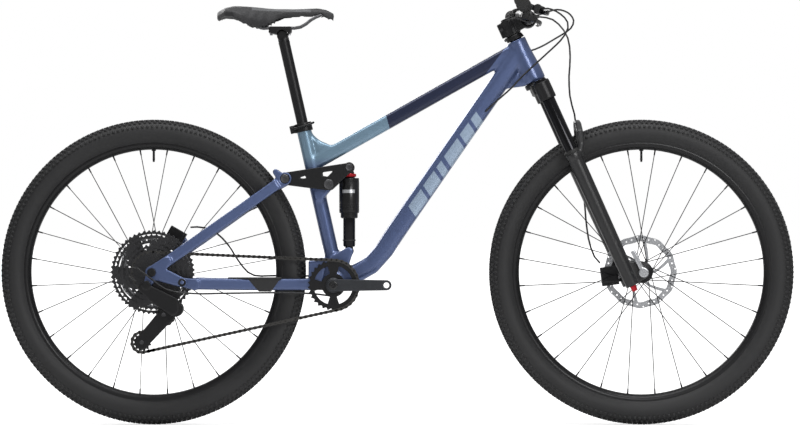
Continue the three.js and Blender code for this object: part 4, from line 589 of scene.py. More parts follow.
def rim(name, body, axle):
    """A box-section rim with rolled edges, with the valve and its nut at the top."""
    inner = RIM_TOP - RIM_DEPTH
    half = RIM_HALF
    profile = [
        (inner, -0.0045), (inner, 0.0045), (inner + 0.0015, 0.008), (inner + 0.007, half - 0.003),
        (inner + 0.010, half - 0.0006), (RIM_TOP - 0.001, half - 0.0002), (RIM_TOP + 0.0005, half - 0.0012),
        (RIM_TOP + 0.0005, half - 0.0026), (RIM_TOP - 0.004, half - 0.003), (RIM_TOP - 0.0065, 0.008),
        (RIM_TOP - 0.0065, -0.008), (RIM_TOP - 0.004, -half + 0.003), (RIM_TOP + 0.0005, -half + 0.0026),
        (RIM_TOP + 0.0005, -half + 0.0012), (RIM_TOP - 0.001, -half + 0.0002),
        (inner + 0.010, -half + 0.0006), (inner + 0.007, -half + 0.003), (inner + 0.0015, -0.008)]
    hoop = turned("hoop", profile, rim_black, steps=192)
    stem_low = inner - 0.030
    valve = [
        rod_between("valve", (0, 0, inner + 0.002), (0, 0, stem_low + 0.006), 0.0029, spoke_black, 12),
        rod_between("nut", (0, 0, inner + 0.001), (0, 0, inner - 0.003), 0.0052, spoke_black, 12),
        rod_between("cap", (0, 0, stem_low + 0.008), (0, 0, stem_low), 0.0034, spoke_black, 12, 0.0022)]
    whole = joined(name, [hoop, *valve])
    moved(whole, axle)
    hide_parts(name)
    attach(whole, body)


def laced_hub(name, body, axle, flange_ys, flange_radius, shell_radius, ends):
    """A turned hub shell with two flanges, and crossed spokes from both flanges to the rim."""
    low_y, high_y = flange_ys
    low_end, high_end = ends
    profile = [
        (0.0075, low_end), (0.0125, low_end), (0.0125, low_y - 0.006), (shell_radius, low_y - 0.0035),
        (flange_radius, low_y - 0.0018), (flange_radius + 0.0006, low_y), (flange_radius, low_y + 0.0018),
        (shell_radius, low_y + 0.005), (shell_radius - 0.003, (low_y + high_y) / 2),
        (shell_radius, high_y - 0.005),
        (flange_radius, high_y - 0.0018), (flange_radius + 0.0006, high_y), (flange_radius, high_y + 0.0018),
        (shell_radius, high_y + 0.0035), (0.0125, high_y + 0.006), (0.0125, high_end), (0.0075, high_end)]
    parts = [turned("shell", profile, hub_black, steps=48)]
    rim_inner = RIM_TOP - RIM_DEPTH
    lean = 0.86
    quarter = 2 * math.pi / SPOKES
    for row, (flange_y, direction) in enumerate([(low_y, 1), (high_y, 1), (low_y, -1), (high_y, -1)]):
        hub_turn = -lean * direction
        seat = flange_radius - 0.002
        start = Vector((seat * math.sin(hub_turn), flange_y, seat * math.cos(hub_turn)))
        end = Vector((0, 0.003 * (1 if flange_y > 0 else -1), rim_inner + 0.001))
        spoke = rod_between("spoke", start, end, 0.00105, spoke_black, 6)
        near_rim = end + (start - end).normalized() * 0.013
        nipple = rod_between("nipple", end, near_rim, 0.0021, spoke_black, 8, 0.0017)
        laced = joined("spoke", [spoke, nipple])
        parts.append(round_axis("spokes", laced, SPOKES // 4, quarter * (row + 0.5)))
    whole = joined(name, parts)
    moved(whole, axle)
    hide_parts(name)
    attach(whole, body)


front_axle = joint_point("front_wheel_spin")
rear_axle_point = joint_point("rear_wheel_spin")
front_axle.y = rear_axle_point.y = 0
tyre("front_tyre", "front_wheel", front_axle, 0.0)
tyre("rear_tyre", "rear_wheel", rear_axle_point, 0.3)
rim("front_rim", "front_wheel", front_axle)
rim("rear_rim", "rear_wheel", rear_axle_point)
HUB_SHELL = 0.014
front_hub_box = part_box("front_hub")
laced_hub("front_hub", "front_wheel", front_axle, (-0.030, 0.028), 0.026, HUB_SHELL,
          (front_hub_box[0].y, front_hub_box[1].y))
rear_hub_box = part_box("rear_hub")
laced_hub("rear_hub", "rear_wheel", rear_axle_point, (-0.0175, 0.034), 0.028, HUB_SHELL + 0.003,
          (rear_hub_box[0].y, rear_hub_box[1].y))


# --- Rear stays: forged and welded aluminium chainstay yoke and seatstay bridge --------------------
# The same blue paint; a black rubber guard lies along the top of the chain-side stay.
stay_paint = finish(
    "stay_paint", BLUE, roughness=0.34, metallic=0.55, grain=900, bump=0.000006, coat=0.5, tint=0.06)
satin_black = finish(
    "satin_black", (0.008, 0.008, 0.009), roughness=0.36, metallic=0.3, grain=900, bump=0.00002, tint=0.2)
gloss_black = finish("gloss_black", (0.010, 0.010, 0.011), roughness=0.24, metallic=0.1, grain=900, coat=0.3)
dark_steel = finish("dark_steel", (0.10, 0.10, 0.105), roughness=0.36, metallic=0.9, grain=1500, tint=0.3)
bright_steel = finish(
    "bright_steel", (0.52, 0.53, 0.55), roughness=0.28, metallic=0.95, grain=1500, tint=0.15)
red_anodised = finish("red_anodised", (0.50, 0.012, 0.022), roughness=0.28, metallic=0.5, grain=1200)
moulded_black = finish(
    "moulded_black", (0.016, 0.016, 0.017), roughness=0.52, grain=500, bump=0.0001, tint=0.2)


def set_on(piece, place, axis):
    """Turns a piece built round Y so that its +Y lies along axis, and moves it to place."""
    turn = Vector((0, 1, 0)).rotation_difference(Vector(axis)).to_matrix().to_4x4()
    piece.data.transform(Matrix.Translation(Vector(place)) @ turn)
    return piece


def bolt(name, place, axis, radius, paint, height=0.0025):
    """A low round bolt head with a bevelled rim, a dished face and a socket; its foot is at place."""
    profile = [
        (0.0, -0.001), (radius, -0.001), (radius, height * 0.7), (radius * 0.9, height),
        (radius * 0.55, height * 0.85), (radius * 0.42, height * 0.85),
        (radius * 0.38, height * 0.1), (0.0, height * 0.1)]
    return set_on(turned(name, profile, paint, steps=32, closed=False), place, axis)


chainstay_skin = rounded_from("chainstay_skin", ["chainstays"], stay_paint, cell=0.0017, rounds=14)
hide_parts("chainstays")
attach(chainstay_skin, "chainstay_arm")
seatstay_skin = rounded_from("seatstay_skin", ["seatstays"], stay_paint, cell=0.0017, rounds=14)
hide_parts("seatstays")
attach(seatstay_skin, "seatstay_arm")

CHAINSTAY_DEPTH = 0.0284
guard_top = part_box("chainstays")[0].z + CHAINSTAY_DEPTH
guard = rounded_box("guard", (0.130, 0.014, 0.0045), moulded_black, 0.0012)
moved(guard, (joint_point("rear_pivot").x + 0.175, -0.0520, guard_top + 0.0015))


def flat_plate(name, outlines, thickness, paint, bevel=0.0003):
    """A flat plate in the XZ plane, centred on y = 0: the first outline is its edge, the others are holes."""
    shape = bpy.data.curves.new(name, "CURVE")
    shape.dimensions = "2D"
    shape.fill_mode = "BOTH"
    shape.extrude = thickness / 2 - bevel
    shape.bevel_depth = bevel
    shape.bevel_resolution = 1
    shape.offset = -bevel
    for outline in outlines:
        line = shape.splines.new("POLY")
        line.points.add(len(outline) - 1)
        for point, (x, z) in zip(line.points, outline):
            point.co = (x, z, 0, 1)
        line.use_cyclic_u = True
    holder = new_piece(name, shape)
    bpy.context.view_layer.update()
    mesh = bpy.data.meshes.new_from_object(holder.evaluated_get(bpy.context.evaluated_depsgraph_get()))
    bpy.data.objects.remove(holder)
    bpy.data.curves.remove(shape)
    mesh.transform(Matrix.Rotation(math.pi / 2, 4, "X"))
    mesh.materials.clear()
    mesh.polygons.foreach_set("use_smooth", [False] * len(mesh.polygons))
    mesh.set_sharp_from_angle(angle=math.radians(30))
    return new_piece(name, mesh, paint)


def polar(radius, turn):
    return (radius * math.cos(turn), radius * math.sin(turn))


def circle(radius, count=32, x=0.0, z=0.0):
    turns = [2 * math.pi * i / count for i in range(count)]
    return [(x + radius * math.cos(turn), z + radius * math.sin(turn)) for turn in turns]


flap_x = joint_point("rear_pivot").x + 0.197
flap = flat_plate(
    "flap", [[(flap_x - 0.040, guard_top + 0.001), (flap_x + 0.041, guard_top + 0.001),
              (flap_x + 0.018, guard_top - 0.031), (flap_x - 0.012, guard_top - 0.031)]],
    0.002, moulded_black, bevel=0.0005)
moved(flap, (0, -0.0565, 0))
stay_guard = joined("stay_guard", [guard, flap])
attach(stay_guard, "chainstay_arm")

pivot_bolts = []
for side in (-1, 1):
    pivot_bolts.append(bolt(
        "rear_pivot_bolt", joint_point("rear_pivot") + Vector((0, side * 0.0835, 0)), (0, side, 0),
        0.0095, satin_black, 0.003))
rear_pivot_bolts = joined("rear_pivot_bolts", pivot_bolts)
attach(rear_pivot_bolts, "seatstay_arm")


# --- Rocker link: a black forged pair of plates joined by a bridge ---------------------------------
# Anodised aluminium, pivoted on the seat tube with large dished bolts at all three pivots.
rocker_skin = rounded_from("rocker_skin", ["rocker_link"], satin_black, cell=0.0012, rounds=5)
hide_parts("rocker_link")
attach(rocker_skin, "rocker")
rocker_low, rocker_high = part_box("rocker_link")
rocker_rear = Vector((rocker_low.x + 0.0145, 0, rocker_low.z + 0.0286))
rocker_mid = joint_point("rocker_pivot")
rocker_front = Vector((rocker_high.x - 0.0113, 0, rocker_high.z - 0.0113))
rocker_bolts = []
ROCKER_PIVOTS = [(rocker_rear, 0.047, 0.0105), (rocker_mid, 0.0354, 0.0120), (rocker_front, 0.0354, 0.0085)]
for side in (-1, 1):
    for pivot, reach, radius in ROCKER_PIVOTS:
        rocker_bolts.append(bolt(
            "rocker_bolt", (pivot.x, side * reach, pivot.z), (0, side, 0), radius, dark_steel, 0.0028))
rocker_bolt_set = joined("rocker_bolt_set", rocker_bolts)
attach(rocker_bolt_set, "rocker")


# --- Shock: a black air can on a polished shaft, with a red lockout knob ---------------------------
# Turned aluminium can with ribs and a pale printed band, chromed black shaft and a red anodised knob.
can_low, can_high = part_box("shock_can")
shock_x = joint_point("shock_lower_eye").x
can_radius = can_high.y
can_paint = finish("can_paint", (0.012, 0.012, 0.013), roughness=0.3, metallic=0.4, grain=1400, coat=0.2)
band_mask = both(
    can_paint,
    side_of(can_paint, (0, 0, can_low.z + 0.062), (0, 0, 1)),
    side_of(can_paint, (0, 0, can_low.z + 0.070), (0, 0, -1)),
    side_of(can_paint, (shock_x - 0.016, 0, 0), (1, 0, 0)),
    side_of(can_paint, (shock_x + 0.014, 0, 0), (-1, 0, 0)))
painted_over(can_paint, band_mask, (0.45, 0.46, 0.48))
can_profile = [
    (0.0152, 0.0), (can_radius - 0.006, 0.0), (can_radius - 0.0035, 0.002), (can_radius - 0.0035, 0.013),
    (can_radius - 0.0005, 0.0155), (can_radius, 0.018), (can_radius, 0.020)]
for ring in range(3):
    level = 0.024 + ring * 0.006
    can_profile += [(can_radius, level), (can_radius - 0.0009, level + 0.001), (can_radius, level + 0.002)]
can_profile += [
    (can_radius, 0.088), (can_radius - 0.002, 0.091), (can_radius - 0.002, 0.094), (0.0152, 0.096)]
can_body = turned("can_body", can_profile, can_paint, steps=64, closed=False)
set_on(can_body, (shock_x, 0, can_low.z), (0, 0, 1))
can_head = rounded_from("can_head", ["shock_can"], satin_black, cell=0.0012, rounds=4)
valve_height = can_low.z + 0.080
fill_valve = rod_between(
    "fill_valve", (shock_x, -0.004, valve_height), (shock_x, -can_radius - 0.003, valve_height),
    0.0035, satin_black, 16)
shock_body = joined("shock_body", [can_head, can_body, fill_valve])
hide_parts("shock_can")
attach(shock_body, "shock_upper")

polished_black = finish(
    "polished_black", (0.016, 0.016, 0.018), roughness=0.14, metallic=0.8, grain=1800, bump=0.00001)
shaft_low, shaft_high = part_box("shock_shaft")
shaft_radius = shaft_high.y
shaft_rod = turned(
    "shaft_rod", [(0.004, 0.022), (shaft_radius - 0.001, 0.022), (shaft_radius, 0.024), (shaft_radius, 0.098),
                  (0.004, 0.100)], polished_black, steps=64)
set_on(shaft_rod, (shock_x, 0, shaft_low.z), (0, 0, 1))
shaft_eye = rounded_from("shaft_eye", ["shock_shaft"], satin_black, cell=0.0012, rounds=4)
travel_ring = turned(
    "travel_ring", [(shaft_radius - 0.0005, 0.036), (shaft_radius + 0.0012, 0.0365),
                    (shaft_radius + 0.0012, 0.0395), (shaft_radius - 0.0005, 0.040)],
    moulded_black, steps=48)
set_on(travel_ring, (shock_x, 0, shaft_low.z), (0, 0, 1))
eye_height = joint_point("shock_lower_eye").z
eye_bolts = [
    bolt("eye_bolt", (shock_x, side * 0.0148, eye_height), (0, side, 0), 0.0085, dark_steel)
    for side in (-1, 1)]
shaft_piece = joined("shaft_piece", [shaft_eye, shaft_rod, travel_ring, *eye_bolts])
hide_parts("shock_shaft")
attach(shaft_piece, "shock_lower")

knob_low, knob_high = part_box("shock_knob")
knob_radius = knob_high.y - 0.0003
knob_middle = (knob_low + knob_high) / 2
knob_height = knob_high.z - knob_low.z
knob_ring = turned(
    "knob_ring", [(0.0105, 0.0), (knob_radius - 0.0016, 0.0), (knob_radius - 0.0008, 0.0010),
                  (knob_radius - 0.0008, knob_height - 0.001), (knob_radius - 0.0016, knob_height),
                  (0.0105, knob_height)],
    red_anodised, steps=64)
rib = rounded_box("rib", (0.0016, knob_height * 0.8, 0.0016), red_anodised, 0.0004, 1.0, 1)
moved(rib, (0, knob_height / 2, knob_radius - 0.0009))
knob = joined("knob", [knob_ring, round_axis("ribs", rib, 28)])
set_on(knob, (knob_middle.x, 0, knob_low.z), (0, 0, 1))
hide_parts("shock_knob")
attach(knob, "lockout_knob")


# --- Fork: forged black crown, dark polished stanchions and cast black lowers ----------------------
# Magnesium lowers with satin paint and an arch between the legs; rubber wiper seals on top.
steer_up = joint_axis("steering")
steer_forward = Vector((steer_up.z, 0, -steer_up.x))
steer_foot = joint_point("steering")
crown_skin = rounded_from("crown_skin", ["fork_crown"], satin_black, cell=0.0016, rounds=6)
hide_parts("fork_crown")
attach(crown_skin, "steering_unit")

lowers_paint = finish("lowers_paint", (0.014, 0.014, 0.015), roughness=0.34, grain=1100, coat=0.15, tint=0.15)
lowers_skin = rounded_from("lowers_skin", ["fork_lowers"], lowers_paint, cell=0.0016, rounds=10)
seal_rubber = finish("seal_rubber", (0.012, 0.012, 0.012), roughness=0.6, grain=800)
STANCHION_RADIUS = 0.016
LEG_TOP_RADIUS = 0.0196
LOWERS_TOP = 0.197  # below the foot of the head tube, along the steering axis
seal_parts = []
for node in ("stanchion_right", "stanchion_left"):
    low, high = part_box(node)
    middle = (low + high) / 2
    half_run = ((high.z - low.z) - 2 * STANCHION_RADIUS * abs(steer_up.x)) / steer_up.z / 2
    tube = turned(
        "tube", [(0.0, -half_run), (STANCHION_RADIUS, -half_run), (STANCHION_RADIUS, half_run - 0.004),
                 (STANCHION_RADIUS - 0.001, half_run - 0.002), (STANCHION_RADIUS - 0.001, half_run),
                 (0.009, half_run + 0.001), (0.0085, half_run - 0.002), (0.0, half_run - 0.002)],
        polished_black, steps=48, closed=False)
    set_on(tube, middle, steer_up)
    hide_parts(node)
    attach(tube, "steering_unit")
    leg_foot = Vector((steer_foot.x, middle.y, steer_foot.z)) + steer_forward * (
        (middle - steer_foot).dot(steer_forward))
    seal_foot = leg_foot - steer_up * LOWERS_TOP
    seal_profile = [
        (STANCHION_RADIUS + 0.0003, 0.0), (LEG_TOP_RADIUS + 0.0006, 0.0), (LEG_TOP_RADIUS + 0.0010, 0.002),
        (LEG_TOP_RADIUS + 0.0002, 0.0055), (STANCHION_RADIUS + 0.0022, 0.0065),
        (STANCHION_RADIUS + 0.0016, 0.0085), (STANCHION_RADIUS + 0.0003, 0.009)]
    seal_parts.append(set_on(turned("seal", seal_profile, seal_rubber, steps=48), seal_foot, steer_up))
lowers_piece = joined("lowers_piece", [lowers_skin, *seal_parts])
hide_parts("fork_lowers")
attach(lowers_piece, "lowers")


# --- Seatpost, saddle clamp and collar ---------------------------------------------------------------
# A drawn aluminium post with a forged head; the clamp cradles two bent steel rails under the saddle.
post_up = joint_axis("seatpost_height")
POST_RADIUS = 0.0136
post_head = joint_point("saddle_tilt")
post_skin = rounded_from("post_skin", ["seatpost"], satin_black, cell=0.0014, rounds=4)
HEAD_ROOM = 0.012  # the round rod ends this far below the head's pivot
post_length = (post_head.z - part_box("seatpost")[0].z) / post_up.z - HEAD_ROOM
post_rod = turned(
    "post_rod", [(0.0, 0.0), (POST_RADIUS, 0.0), (POST_RADIUS, post_length - 0.010),
                 (POST_RADIUS + 0.0006, post_length - 0.004), (0.0, post_length)],
    satin_black, steps=48, closed=False)
set_on(post_rod, post_head - post_up * (post_length + HEAD_ROOM), post_up)
post_piece = joined("post_piece", [post_skin, post_rod])
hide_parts("seatpost")
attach(post_piece, "post")

clamp_skin = rounded_from("clamp_skin", ["saddle_clamp"], satin_black, cell=0.0011, rounds=4)
clamp_low, clamp_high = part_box("saddle_clamp")
clamp_bolts = [
    rod_between("clamp_bolt", (x, 0, clamp_low.z - 0.002), (x, 0, clamp_high.z + 0.001),
                0.0034, bright_steel, 12)
    for x in (clamp_low.x + 0.006, clamp_high.x - 0.006)]
clamp_piece = joined("clamp_piece", [clamp_skin, *clamp_bolts])
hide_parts("saddle_clamp")
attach(clamp_piece, "saddle_unit")

rails_skin = rounded_from("rails_skin", ["saddle_rails"], dark_steel, cell=0.0011, rounds=8)
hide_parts("saddle_rails")
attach(rails_skin, "saddle_unit")

collar_skin = rounded_from("collar_skin", ["seat_clamp"], satin_black, cell=0.0009, rounds=4)
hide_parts("seat_clamp")
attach(collar_skin, "frame")
collar_lever = rounded_from("collar_lever", ["seat_clamp_lever"], satin_black, cell=0.0008, rounds=6)
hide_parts("seat_clamp_lever")
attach(collar_lever, "clamp_lever")


# --- Saddle: foam under a stretched black cover with grey side panels ----------------------------------
# A moulded shell, foam and a glued synthetic cover; the foam swells a little over the rear wings.
saddle_cover = finish(
    "saddle_cover", (0.016, 0.016, 0.018), roughness=0.55, grain=1300, bump=0.00009, tint=0.2, sheen=0.1)
saddle_low, saddle_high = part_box("saddle")
saddle_length = saddle_high.x - saddle_low.x
panel_mask = both(
    saddle_cover,
    side_of(saddle_cover, (saddle_low.x + 0.30 * saddle_length, 0, 0), (1, 0, 0)),
    side_of(saddle_cover, (saddle_low.x + 0.80 * saddle_length, 0, 0), (-1, 0, 0)),
    side_of(saddle_cover, (0, 0, saddle_high.z - 0.021), (0.03, 0, 1)),
    side_of(saddle_cover, (0, 0, saddle_high.z - 0.013), (-0.03, 0, -1)))
painted_over(saddle_cover, panel_mask, (0.085, 0.087, 0.092))
saddle_piece = rounded_from("saddle_piece", ["saddle"], saddle_cover, cell=0.0028, rounds=10)
plump = saddle_piece.data
points = np.empty(len(plump.vertices) * 3)
plump.vertices.foreach_get("co", points)
points = points.reshape(-1, 3)
along = (points[:, 0] - saddle_low.x) / saddle_length
over = np.clip((points[:, 2] - (saddle_high.z - 0.030)) / 0.030, 0, 1)
across = points[:, 1]
fades = np.clip((along - 0.12) / 0.2, 0, 1), np.clip((0.85 - along) / 0.2, 0, 1)
groove = np.exp(-(across / 0.009) ** 2) * fades[0] * fades[1]
wings = np.exp(-((np.abs(across) - 0.040) / 0.022) ** 2) * np.exp(-((along - 0.22) / 0.16) ** 2)
points[:, 2] += over * (0.0030 * wings - 0.0045 * groove)
seam = np.exp(-((np.abs(across) - (0.022 + 0.030 * np.clip(0.62 - along, 0, 1))) / 0.0016) ** 2)
points[:, 2] -= over * 0.0007 * seam
plump.vertices.foreach_set("co", points.ravel())
plump.update()
round_off = saddle_piece.modifiers.new("round_off", "SUBSURF")
round_off.levels = round_off.render_levels = 1
baked(saddle_piece)
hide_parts("saddle")
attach(saddle_piece, "saddle_unit")


# --- Stem, bar and grips ----------------------------------------------------------------------------
# Forged stem with a top cap and two pinch bolts; aluminium bar; ribbed rubber grips with a
# collar at the inner end and a plug at the outer one.
stem_skin = rounded_from("stem_skin", ["stem"], satin_black, cell=0.0012, rounds=7)
stem_bolts = []
for height in (0.122, 0.148):
    seat = steer_foot + steer_up * height - steer_forward * 0.022
    for side in (-1, 1):
        foot = seat + Vector((0, side * 0.0205, 0))
        stem_bolts.append(bolt("pinch_bolt", foot, (0, side, 0), 0.0036, dark_steel, 0.002))
top_cap = turned(
    "top_cap", [(0.0, 0.0), (0.0150, 0.0), (0.0152, 0.002), (0.0140, 0.0036), (0.0045, 0.0042),
                (0.004, 0.002), (0.0, 0.002)],
    satin_black, steps=48, closed=False)
set_on(top_cap, steer_foot + steer_up * 0.1665, steer_up)
stem_piece = joined("stem_piece", [stem_skin, top_cap, *stem_bolts])
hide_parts("stem")
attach(stem_piece, "steering_unit")

bar_skin = rounded_from("bar_skin", ["handlebar"], satin_black, cell=0.0016, rounds=8)
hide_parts("handlebar")
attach(bar_skin, "steering_unit")

grip_rubber = finish("grip_rubber", (0.016, 0.016, 0.016), roughness=0.75, grain=900, bump=0.00015, tint=0.2)
GRIP_RADIUS = 0.0145
for side, node in ((-1, "grip_right"), (1, "grip_left")):
    low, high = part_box(node)
    grip_long = high.y - low.y
    near_y = low.y if side > 0 else high.y
    far_y = high.y if side > 0 else low.y
    near_end = Vector((high.x - 0.0178, near_y, low.z + 0.0172))
    far_end = Vector((low.x + 0.0148, far_y, high.z - 0.0148))
    direction = (far_end - near_end).normalized()
    profile = [
        (0.0112, 0.0), (0.0168, 0.0), (0.0172, 0.001), (0.0172, 0.0055), (0.0166, 0.0065),
        (GRIP_RADIUS, 0.008)]
    for ring in range(22):
        foot = 0.012 + ring * 0.0050
        profile += [(GRIP_RADIUS, foot), (GRIP_RADIUS + 0.0009, foot + 0.0008),
                    (GRIP_RADIUS + 0.0009, foot + 0.0026), (GRIP_RADIUS, foot + 0.0034)]
    profile += [(GRIP_RADIUS, grip_long - 0.012), (0.0165, grip_long - 0.010), (0.0165, grip_long - 0.003),
                (0.0150, grip_long - 0.0005), (0.0, grip_long)]
    grip = turned("grip_piece", profile, grip_rubber, steps=48, closed=False)
    set_on(grip, near_end, direction)
    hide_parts(node)
    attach(grip, "steering_unit")


# --- Brake and shift controls -------------------------------------------------------------------------
# Cast master cylinders with a cap on each lever's pivot, forged levers and a thumb paddle.
for word in ("right", "left"):
    node = "brake_master_" + word
    master = rounded_from("master_skin", [node], satin_black, cell=0.0010, rounds=5)
    lever_pivot = joint_point("brake_lever_" + word + "_pull")
    pivot_axis = joint_axis("brake_lever_" + word + "_pull")
    cap = bolt("pivot_cap", lever_pivot + pivot_axis * 0.0068, pivot_axis, 0.0055, dark_steel, 0.002)
    master_piece = joined("master_" + word, [master, cap])
    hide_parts(node)
    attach(master_piece, "steering_unit")
    blade = rounded_from("blade_" + word, ["brake_lever_" + word], gloss_black, cell=0.0008, rounds=8)
    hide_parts("brake_lever_" + word)
    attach(blade, "lever_" + word)
paddle = rounded_from("paddle", ["shift_lever"], moulded_black, cell=0.0007, rounds=6)
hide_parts("shift_lever")
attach(paddle, "shifter_paddle")


# --- Axles, damper knob, callipers and rotors ------------------------------------------------------------
# Through-axles, a red damper knob, cast callipers with their bolts and drilled stainless rotors.
axle_lever = rounded_from("axle_lever", ["front_axle"], bright_steel, cell=0.0011, rounds=5)
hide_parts("front_axle")
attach(axle_lever, "axle_lever")
rebound = rounded_from("rebound", ["rebound_knob"], red_anodised, cell=0.0006, rounds=3)
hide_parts("rebound_knob")
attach(rebound, "damper_knob")
rear_axle_skin = rounded_from("rear_axle_skin", ["rear_axle"], satin_black, cell=0.0011, rounds=4)
rear_cap_foot = (rear_axle_point.x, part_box("rear_axle")[0].y + 0.001, rear_axle_point.z)
rear_cap = bolt("rear_cap", rear_cap_foot, (0, -1, 0), 0.0105, satin_black, 0.002)
rear_axle_piece = joined("rear_axle_piece", [rear_axle_skin, rear_cap])
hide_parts("rear_axle")
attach(rear_axle_piece, "seatstay_arm")
for node, body in (("front_calliper", "lowers"), ("rear_calliper", "seatstay_arm")):
    low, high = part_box(node)
    middle = (low + high) / 2
    calliper = rounded_from(node + "_skin", [node], satin_black, cell=0.0009, rounds=5)
    heads = []
    for forward, up in ((-0.011, 0.012), (0.010, -0.013)):
        foot = (middle.x + forward, high.y - 0.0006, middle.z + up)
        heads.append(bolt("calliper_bolt", foot, (0, 1, 0), 0.0045, dark_steel, 0.0025))
    calliper_piece = joined(node + "_piece", [calliper, *heads])
    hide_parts(node)
    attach(calliper_piece, body)


def rotor(node, body, axle):
    """A drilled disc with a wavy rim and inner edge on six swept arms, bolted to the hub."""
    low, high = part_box(node)
    top = (high.x - low.x) / 2
    thick = high.y - low.y
    waves, steps = 12, 240
    outer, inner = [], []
    for step in range(steps):
        turn = 2 * math.pi * step / steps
        wave = math.cos(waves * turn)
        outer.append(polar(top - 0.0012 + 0.0012 * wave, turn))
        inner.append(polar(top - 0.0165 + 0.0014 * wave, turn))
    holes = []
    for step in range(36):
        turn = 2 * math.pi * (step + 0.5) / 36
        radius = top - 0.0075 + 0.0036 * math.cos(step * 2 * math.pi / 3)
        holes.append(circle(0.0020, 12, radius * math.cos(turn), radius * math.sin(turn)))
    track = flat_plate("track", [outer, inner, *holes], thick, bright_steel, bevel=0.0002)
    arm_outline = []
    arms = 6
    for arm in range(arms):
        base = 2 * math.pi * arm / arms
        for radius, turn in [(0.0235, -0.34), (0.040, -0.02), (0.058, 0.20), (top - 0.0140, 0.34),
                             (top - 0.0140, 0.46), (0.058, 0.34), (0.041, 0.16), (0.0260, 0.10),
                             (0.0235, 0.36)]:
            arm_outline.append(polar(radius, base + turn))
    spider = flat_plate("spider", [arm_outline, circle(0.0165, 32)], thick * 0.98, bright_steel, bevel=0.0002)
    hub_side = -1 if low.y > 0 else 1
    screws = []
    for screw in range(6):
        turn = 2 * math.pi * screw / 6
        x, z = polar(0.0205, turn)
        screws.append(bolt(
            "screw", (x, thick / 2 * -hub_side, z), (0, -hub_side, 0), 0.0036, dark_steel, 0.002))
    whole = joined(node + "_piece", [track, spider, *screws])
    moved(whole, (axle.x, (low.y + high.y) / 2, axle.z))
    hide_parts(node)
    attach(whole, body)


rotor("front_rotor", "front_wheel", front_axle)
rotor("rear_rotor", "rear_wheel", rear_axle_point)


# --- Crankset: hollow black arms and a stamped chainring ------------------------------------------------
# Forged arms with a raised boss at the axle; a thirty-tooth ring on four short spider arms.
crank_grey = finish("crank_grey", (0.045, 0.048, 0.054), roughness=0.36, metallic=0.6, grain=1300, tint=0.15)
bottom_bracket = joint_point("crank_spin")
bottom_bracket.y = 0


FLAT_END = 0.36 + 0.5 * 0.28  # where a tooth's flat tip ends, as a share of the pitch


def gear_outline(teeth, root, tip):
    """The outline of a toothed wheel: teeth with slanted flanks and short flat tips."""
    outline = []
    flank = root + (tip - root) * 0.35
    pitch = 2 * math.pi / teeth
    for tooth in range(teeth):
        base = tooth * pitch
        for share, radius in [(0.0, root), (0.22, flank), (0.36, tip), (FLAT_END, tip), (0.78, flank)]:
            outline.append(polar(radius, base + share * pitch))
    return outline


def window(inner, outer, start, end, steps=6):
    """A slot cut between two radii and two angles."""
    ring = [start + (end - start) * i / steps for i in range(steps + 1)]
    return [polar(outer, turn) for turn in ring] + [polar(inner, turn) for turn in reversed(ring)]


ring_low, ring_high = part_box("chainring")
ring_tip = (ring_high.x - ring_low.x) / 2
ring_y = (ring_low.y + ring_high.y) / 2
RING_TEETH = 30
ring_windows = []
for i in range(4):
    base = 2 * math.pi * i / 4
    ring_windows.append(window(0.029, 0.0475, base + 0.30, base + 1.27, 10))
ring_plate = flat_plate(
    "ring_plate", [gear_outline(RING_TEETH, ring_tip - 0.0048, ring_tip), circle(0.014, 32), *ring_windows],
    0.0016, satin_black)
moved(ring_plate, (bottom_bracket.x, ring_y, bottom_bracket.z))
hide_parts("chainring")
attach(ring_plate, "cranks")

for word, side in (("right", -1), ("left", 1)):
    node = "crank_" + word
    arm = rounded_from(node + "_skin", [node], crank_grey, cell=0.0011, rounds=8)
    boss_foot = bottom_bracket + Vector((0, side * 0.0722, 0))
    boss = bolt("boss", boss_foot, (0, side, 0), 0.0105, gloss_black, 0.0022)
    whole = joined(node + "_piece", [arm, boss])
    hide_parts(node)
    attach(whole, "cranks")


# --- Cassette: twelve stamped sprockets ------------------------------------------------------------------
# Dark steel sprockets from ten to fifty-one teeth; the larger ones are pierced to save weight.
SPROCKETS = (51, 45, 39, 33, 28, 24, 21, 18, 16, 14, 12, 10)
CHAIN_PITCH = 0.0127


def pitch_radius(teeth):
    """The radius at which a wheel of so many teeth carries the chain's rivets."""
    return CHAIN_PITCH / 2 / math.sin(math.pi / teeth)


sprocket_paint = finish(
    "sprocket_paint", (0.060, 0.060, 0.063), roughness=0.32, metallic=0.85, grain=1500, tint=0.3)
cassette_low, cassette_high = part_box("cassette")
cassette_centre = joint_point("cassette_spin")
cassette_tip = (cassette_high.x - cassette_low.x) / 2
inner_y = cassette_high.y - 0.0125
step_y = (inner_y - cassette_low.y - 0.004) / (len(SPROCKETS) - 1)
sprockets = []
for place, teeth in enumerate(SPROCKETS):
    tip = min(pitch_radius(teeth) + 0.0020, cassette_tip)
    root = tip - 0.0046
    cuts = []
    if teeth > 26:
        hole_in = max(0.021, pitch_radius(teeth) * 0.50)
        arms = 6
        for arm in range(arms):
            base = 2 * math.pi * arm / arms + place * 0.21
            cuts.append(window(hole_in, root - 0.0050, base + 0.16, base + 0.88, 6))
    centre_hole = circle(0.0168, 32)
    outlines = [gear_outline(teeth, root, tip), centre_hole, *cuts]
    cog = flat_plate("cog", outlines, 0.0017, sprocket_paint, bevel=0.0002)
    if teeth > 33:
        centre_ring = flat_plate("carrier", [circle(0.021, 32), circle(0.0168, 32)], 0.003, satin_black)
        moved(centre_ring, (0, inner_y - place * step_y, 0))
        sprockets.append(centre_ring)
    moved(cog, (0, inner_y - place * step_y, 0))
    sprockets.append(cog)
